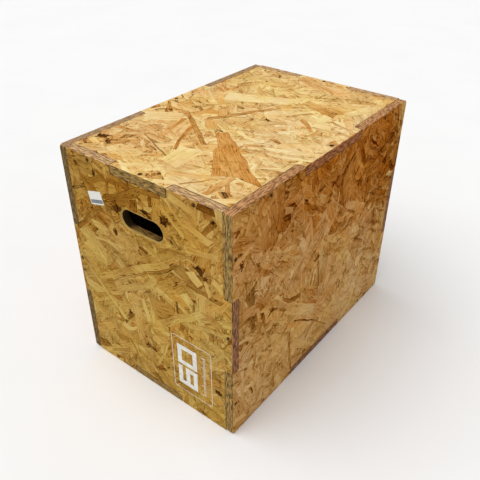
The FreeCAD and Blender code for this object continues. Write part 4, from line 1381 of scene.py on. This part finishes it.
class JUMPBOX_OT_height_mark(bpy.types.Operator):
    """Print the height of the box in a plain frame with ticks"""

    bl_idname = "jumpbox.height_mark"
    bl_label = "Height mark"

    def execute(self, context):
        """Figures, frame and ticks as one layer of paint."""
        settings = context.scene.jump_box_marks
        bm = bmesh.new()
        self.figures(bm, settings)
        self.line_frame(bm, settings)
        self.ticks(bm, settings)
        thicken(bm, settings.paint_thick)
        bm.transform(face_frame("front_panel")[0] @ Matrix.Translation((0, 0, -settings.sunk)))
        paint = print_material("mark_paint", settings.paint, 0.18, 0.5, 90.0)
        make_piece("height_mark", bm, [paint])
        return {"FINISHED"}

    def figures(self, bm, settings):
        """Plain block figures that read upwards."""
        across, up = on_face("front_panel", settings.height_across, settings.height_down)
        step = settings.figure_wide + settings.figure_gap
        for number, figure in enumerate(settings.height_text):
            shape = self.figure(BLOCK_FIGURES[figure], settings)
            offset = (number - (len(settings.height_text) - 1) / 2) * step
            shape.transform(
                Matrix.Translation((across, up, 0)) @ Matrix.Rotation(math.pi / 2, 4, "Z")
                @ Matrix.Translation((offset, 0, 0))
            )
            add_shape(bm, shape)

    def figure(self, pattern, settings):
        """One figure from a grid of three columns and five rows, its strokes of one width."""
        wide, high, stroke = settings.figure_wide, settings.figure_high, settings.figure_stroke
        columns = [-wide / 2, stroke - wide / 2, wide / 2 - stroke, wide / 2]
        hole = (high - 3 * stroke) / 2
        rows = [-high / 2, stroke - high / 2, stroke + hole - high / 2]
        rows += [-row for row in reversed(rows)]
        shape = bmesh.new()
        bmesh.ops.create_grid(shape, x_segments=3, y_segments=5, size=0.5)
        empty = []
        for face in shape.faces:
            middle = face.calc_center_median()
            column, row = int((middle.x + 0.5) * 3), int((0.5 - middle.y) * 5)
            if pattern[row][column] == ".":
                empty.append(face)
        bmesh.ops.delete(shape, geom=empty, context="FACES")
        for vert in shape.verts:
            vert.co.x = columns[round((vert.co.x + 0.5) * 3)]
            vert.co.y = rows[round((vert.co.y + 0.5) * 5)]
        return shape

    def line_frame(self, bm, settings):
        """Thin line round the mark."""
        shape = bmesh.new()
        bmesh.ops.create_grid(shape, x_segments=1, y_segments=1, size=0.5)
        bmesh.ops.scale(shape, vec=(settings.frame_wide, settings.frame_high, 1), verts=shape.verts)
        bmesh.ops.bevel(
            shape, geom=shape.verts[:], offset=settings.frame_corner, segments=6, profile=0.5, affect="VERTICES",
            material=-1,
        )
        middle = shape.faces[:]
        bmesh.ops.inset_region(shape, faces=middle, thickness=settings.frame_line, use_boundary=True, use_even_offset=True)
        bmesh.ops.delete(shape, geom=middle, context="FACES_ONLY")
        across, up = on_face("front_panel", settings.frame_across, settings.frame_down)
        shape.transform(Matrix.Translation((across, up, 0)))
        add_shape(bm, shape)

    def ticks(self, bm, settings):
        """Row of ticks, every fifth one long."""
        across, up = on_face("front_panel", settings.tick_across, settings.height_down)
        count = int(settings.tick_row / settings.tick_step)
        for number in range(count + 1):
            long = settings.tick_long * (1.0 if number % 5 == 0 else 0.6)
            offset = (number - count / 2) * settings.tick_step
            shape = bmesh.new()
            bmesh.ops.create_grid(shape, x_segments=1, y_segments=1, size=0.5)
            bmesh.ops.scale(shape, vec=(long, settings.tick_wide, 1), verts=shape.verts)
            shape.transform(Matrix.Translation((across + (settings.tick_long - long) / 2, up + offset, 0)))
            add_shape(bm, shape)


def add_shape(bm, shape):
    """Join a bmesh into another and free it."""
    mesh = bpy.data.meshes.new("shape")
    shape.to_mesh(mesh)
    shape.free()
    bm.from_mesh(mesh)
    bpy.data.meshes.remove(mesh)


def thicken(bm, thickness):
    """Give a flat shape a back and walls, its front at the given height."""
    for face in bm.faces:
        if face.normal.z < 0:
            face.normal_flip()
    flat = bm.faces[:]
    made = bmesh.ops.extrude_face_region(bm, geom=flat, use_keep_orig=True)["geom"]
    raised = [part for part in made if isinstance(part, bmesh.types.BMVert)]
    bmesh.ops.translate(bm, verts=raised, vec=(0, 0, thickness))
    bmesh.ops.recalc_face_normals(bm, faces=bm.faces)


class JUMPBOX_OT_stage(bpy.types.Operator):
    """Set the floor, the light and the camera"""

    bl_idname = "jumpbox.stage"
    bl_label = "Stage"

    def execute(self, context):
        """White floor and room, a soft lamp overhead and the camera of the photograph."""
        settings = context.scene.jump_box_stage
        context.scene.view_settings.view_transform = "Standard"
        self.floor(settings)
        self.room(context, settings)
        self.lamp(settings)
        self.camera(context, settings)
        return {"FINISHED"}

    def floor(self, settings):
        """Pale floor under the box."""
        bm = bmesh.new()
        bmesh.ops.create_grid(bm, x_segments=1, y_segments=1, size=settings.floor_wide)
        mesh = bpy.data.meshes.new("floor")
        bm.to_mesh(mesh)
        bm.free()
        material, tree, surface = new_material("pale_floor")
        wear = group_node(tree, "handling", {"Scale": 3.0})
        dulled = tuple(channel * 0.985 for channel in settings.floor)
        tint = blend_colours(tree, wear["Patches"], rgba(settings.floor), rgba(dulled))
        connect(tree, surface, Base_Color=tint)
        surface.inputs["Roughness"].default_value = 0.9
        surface.inputs["Specular IOR Level"].default_value = 0.1
        mesh.materials.append(material)
        floor = bpy.data.objects.new("floor", mesh)
        bpy.context.scene.collection.objects.link(floor)

    def room(self, context, settings):
        """White to the camera and in reflections, plain light to the rest."""
        world = bpy.data.worlds.new("room")
        context.scene.world = world
        world.use_nodes = True
        tree = world.node_tree
        background = tree.nodes["Background"]
        background.inputs["Color"].default_value = (1, 1, 1, 1)
        rays = add_node(tree, "ShaderNodeLightPath").outputs
        mirrored = calculate(tree, "MAXIMUM", rays["Is Glossy Ray"], rays["Is Transmission Ray"])
        seen = calculate(tree, "MAXIMUM", rays["Is Camera Ray"], mirrored)
        rise = calculate(tree, "MULTIPLY", seen, 1.0 - settings.room_light)
        strength = calculate(tree, "ADD", rise, settings.room_light)
        tree.links.new(strength, background.inputs["Strength"])

    def lamp(self, settings):
        """Soft lamp overhead."""
        lamp = bpy.data.lights.new("key", "SUN")
        lamp.energy = settings.key_light
        lamp.angle = settings.key_soft
        holder = bpy.data.objects.new("key", lamp)
        bpy.context.scene.collection.objects.link(holder)
        holder.location = Vector(settings.key_from) * 3
        holder.rotation_euler = Vector(settings.key_from).to_track_quat("Z", "Y").to_euler()

    def camera(self, context, settings):
        """Camera at the photograph's place."""
        camera = bpy.data.cameras.new("camera")
        camera.lens = settings.lens
        camera.sensor_width = 36
        holder = bpy.data.objects.new("camera", camera)
        context.scene.collection.objects.link(holder)
        looking = (Vector(settings.aim) - Vector(settings.eye)).to_track_quat("-Z", "Y")
        holder.location = settings.eye
        holder.rotation_euler = (looking.to_matrix() @ Matrix.Rotation(settings.roll, 3, "Z")).to_euler()
        context.scene.camera = holder


class JUMPBOX_PT_panel(bpy.types.Panel):
    """Pieces of the jump box"""

    bl_idname = "JUMPBOX_PT_panel"
    bl_label = "Jump box"
    bl_space_type = "VIEW_3D"
    bl_region_type = "UI"
    bl_category = "Jump box"

    def draw(self, context):
        """List the operators."""
        for operator in OPERATORS:
            self.layout.operator(operator.bl_idname)


SETTINGS = {
    "jump_box_boards": JumpBoxBoards,
    "jump_box_screws": JumpBoxScrews,
    "jump_box_marks": JumpBoxMarks,
    "jump_box_stage": JumpBoxStage,
}
OPERATORS = [
    JUMPBOX_OT_boards,
    JUMPBOX_OT_screws,
    JUMPBOX_OT_sticker,
    JUMPBOX_OT_height_mark,
    JUMPBOX_OT_stage,
]


def register():
    """Add the settings, operators and panel."""
    for name, kind in SETTINGS.items():
        bpy.utils.register_class(kind)
        setattr(bpy.types.Scene, name, bpy.props.PointerProperty(type=kind))
    for kind in [*OPERATORS, JUMPBOX_PT_panel]:
        bpy.utils.register_class(kind)


def unregister():
    """Take them away again."""
    for kind in [JUMPBOX_PT_panel, *reversed(OPERATORS)]:
        bpy.utils.unregister_class(kind)
    for name, kind in SETTINGS.items():
        delattr(bpy.types.Scene, name)
        bpy.utils.unregister_class(kind)


def main():
    """Dress the box."""
    register()
    bpy.ops.jumpbox.boards()
    bpy.ops.jumpbox.screws()
    bpy.ops.jumpbox.sticker()
    bpy.ops.jumpbox.height_mark()
    bpy.ops.jumpbox.stage()


if __name__ == "__main__":
    main()
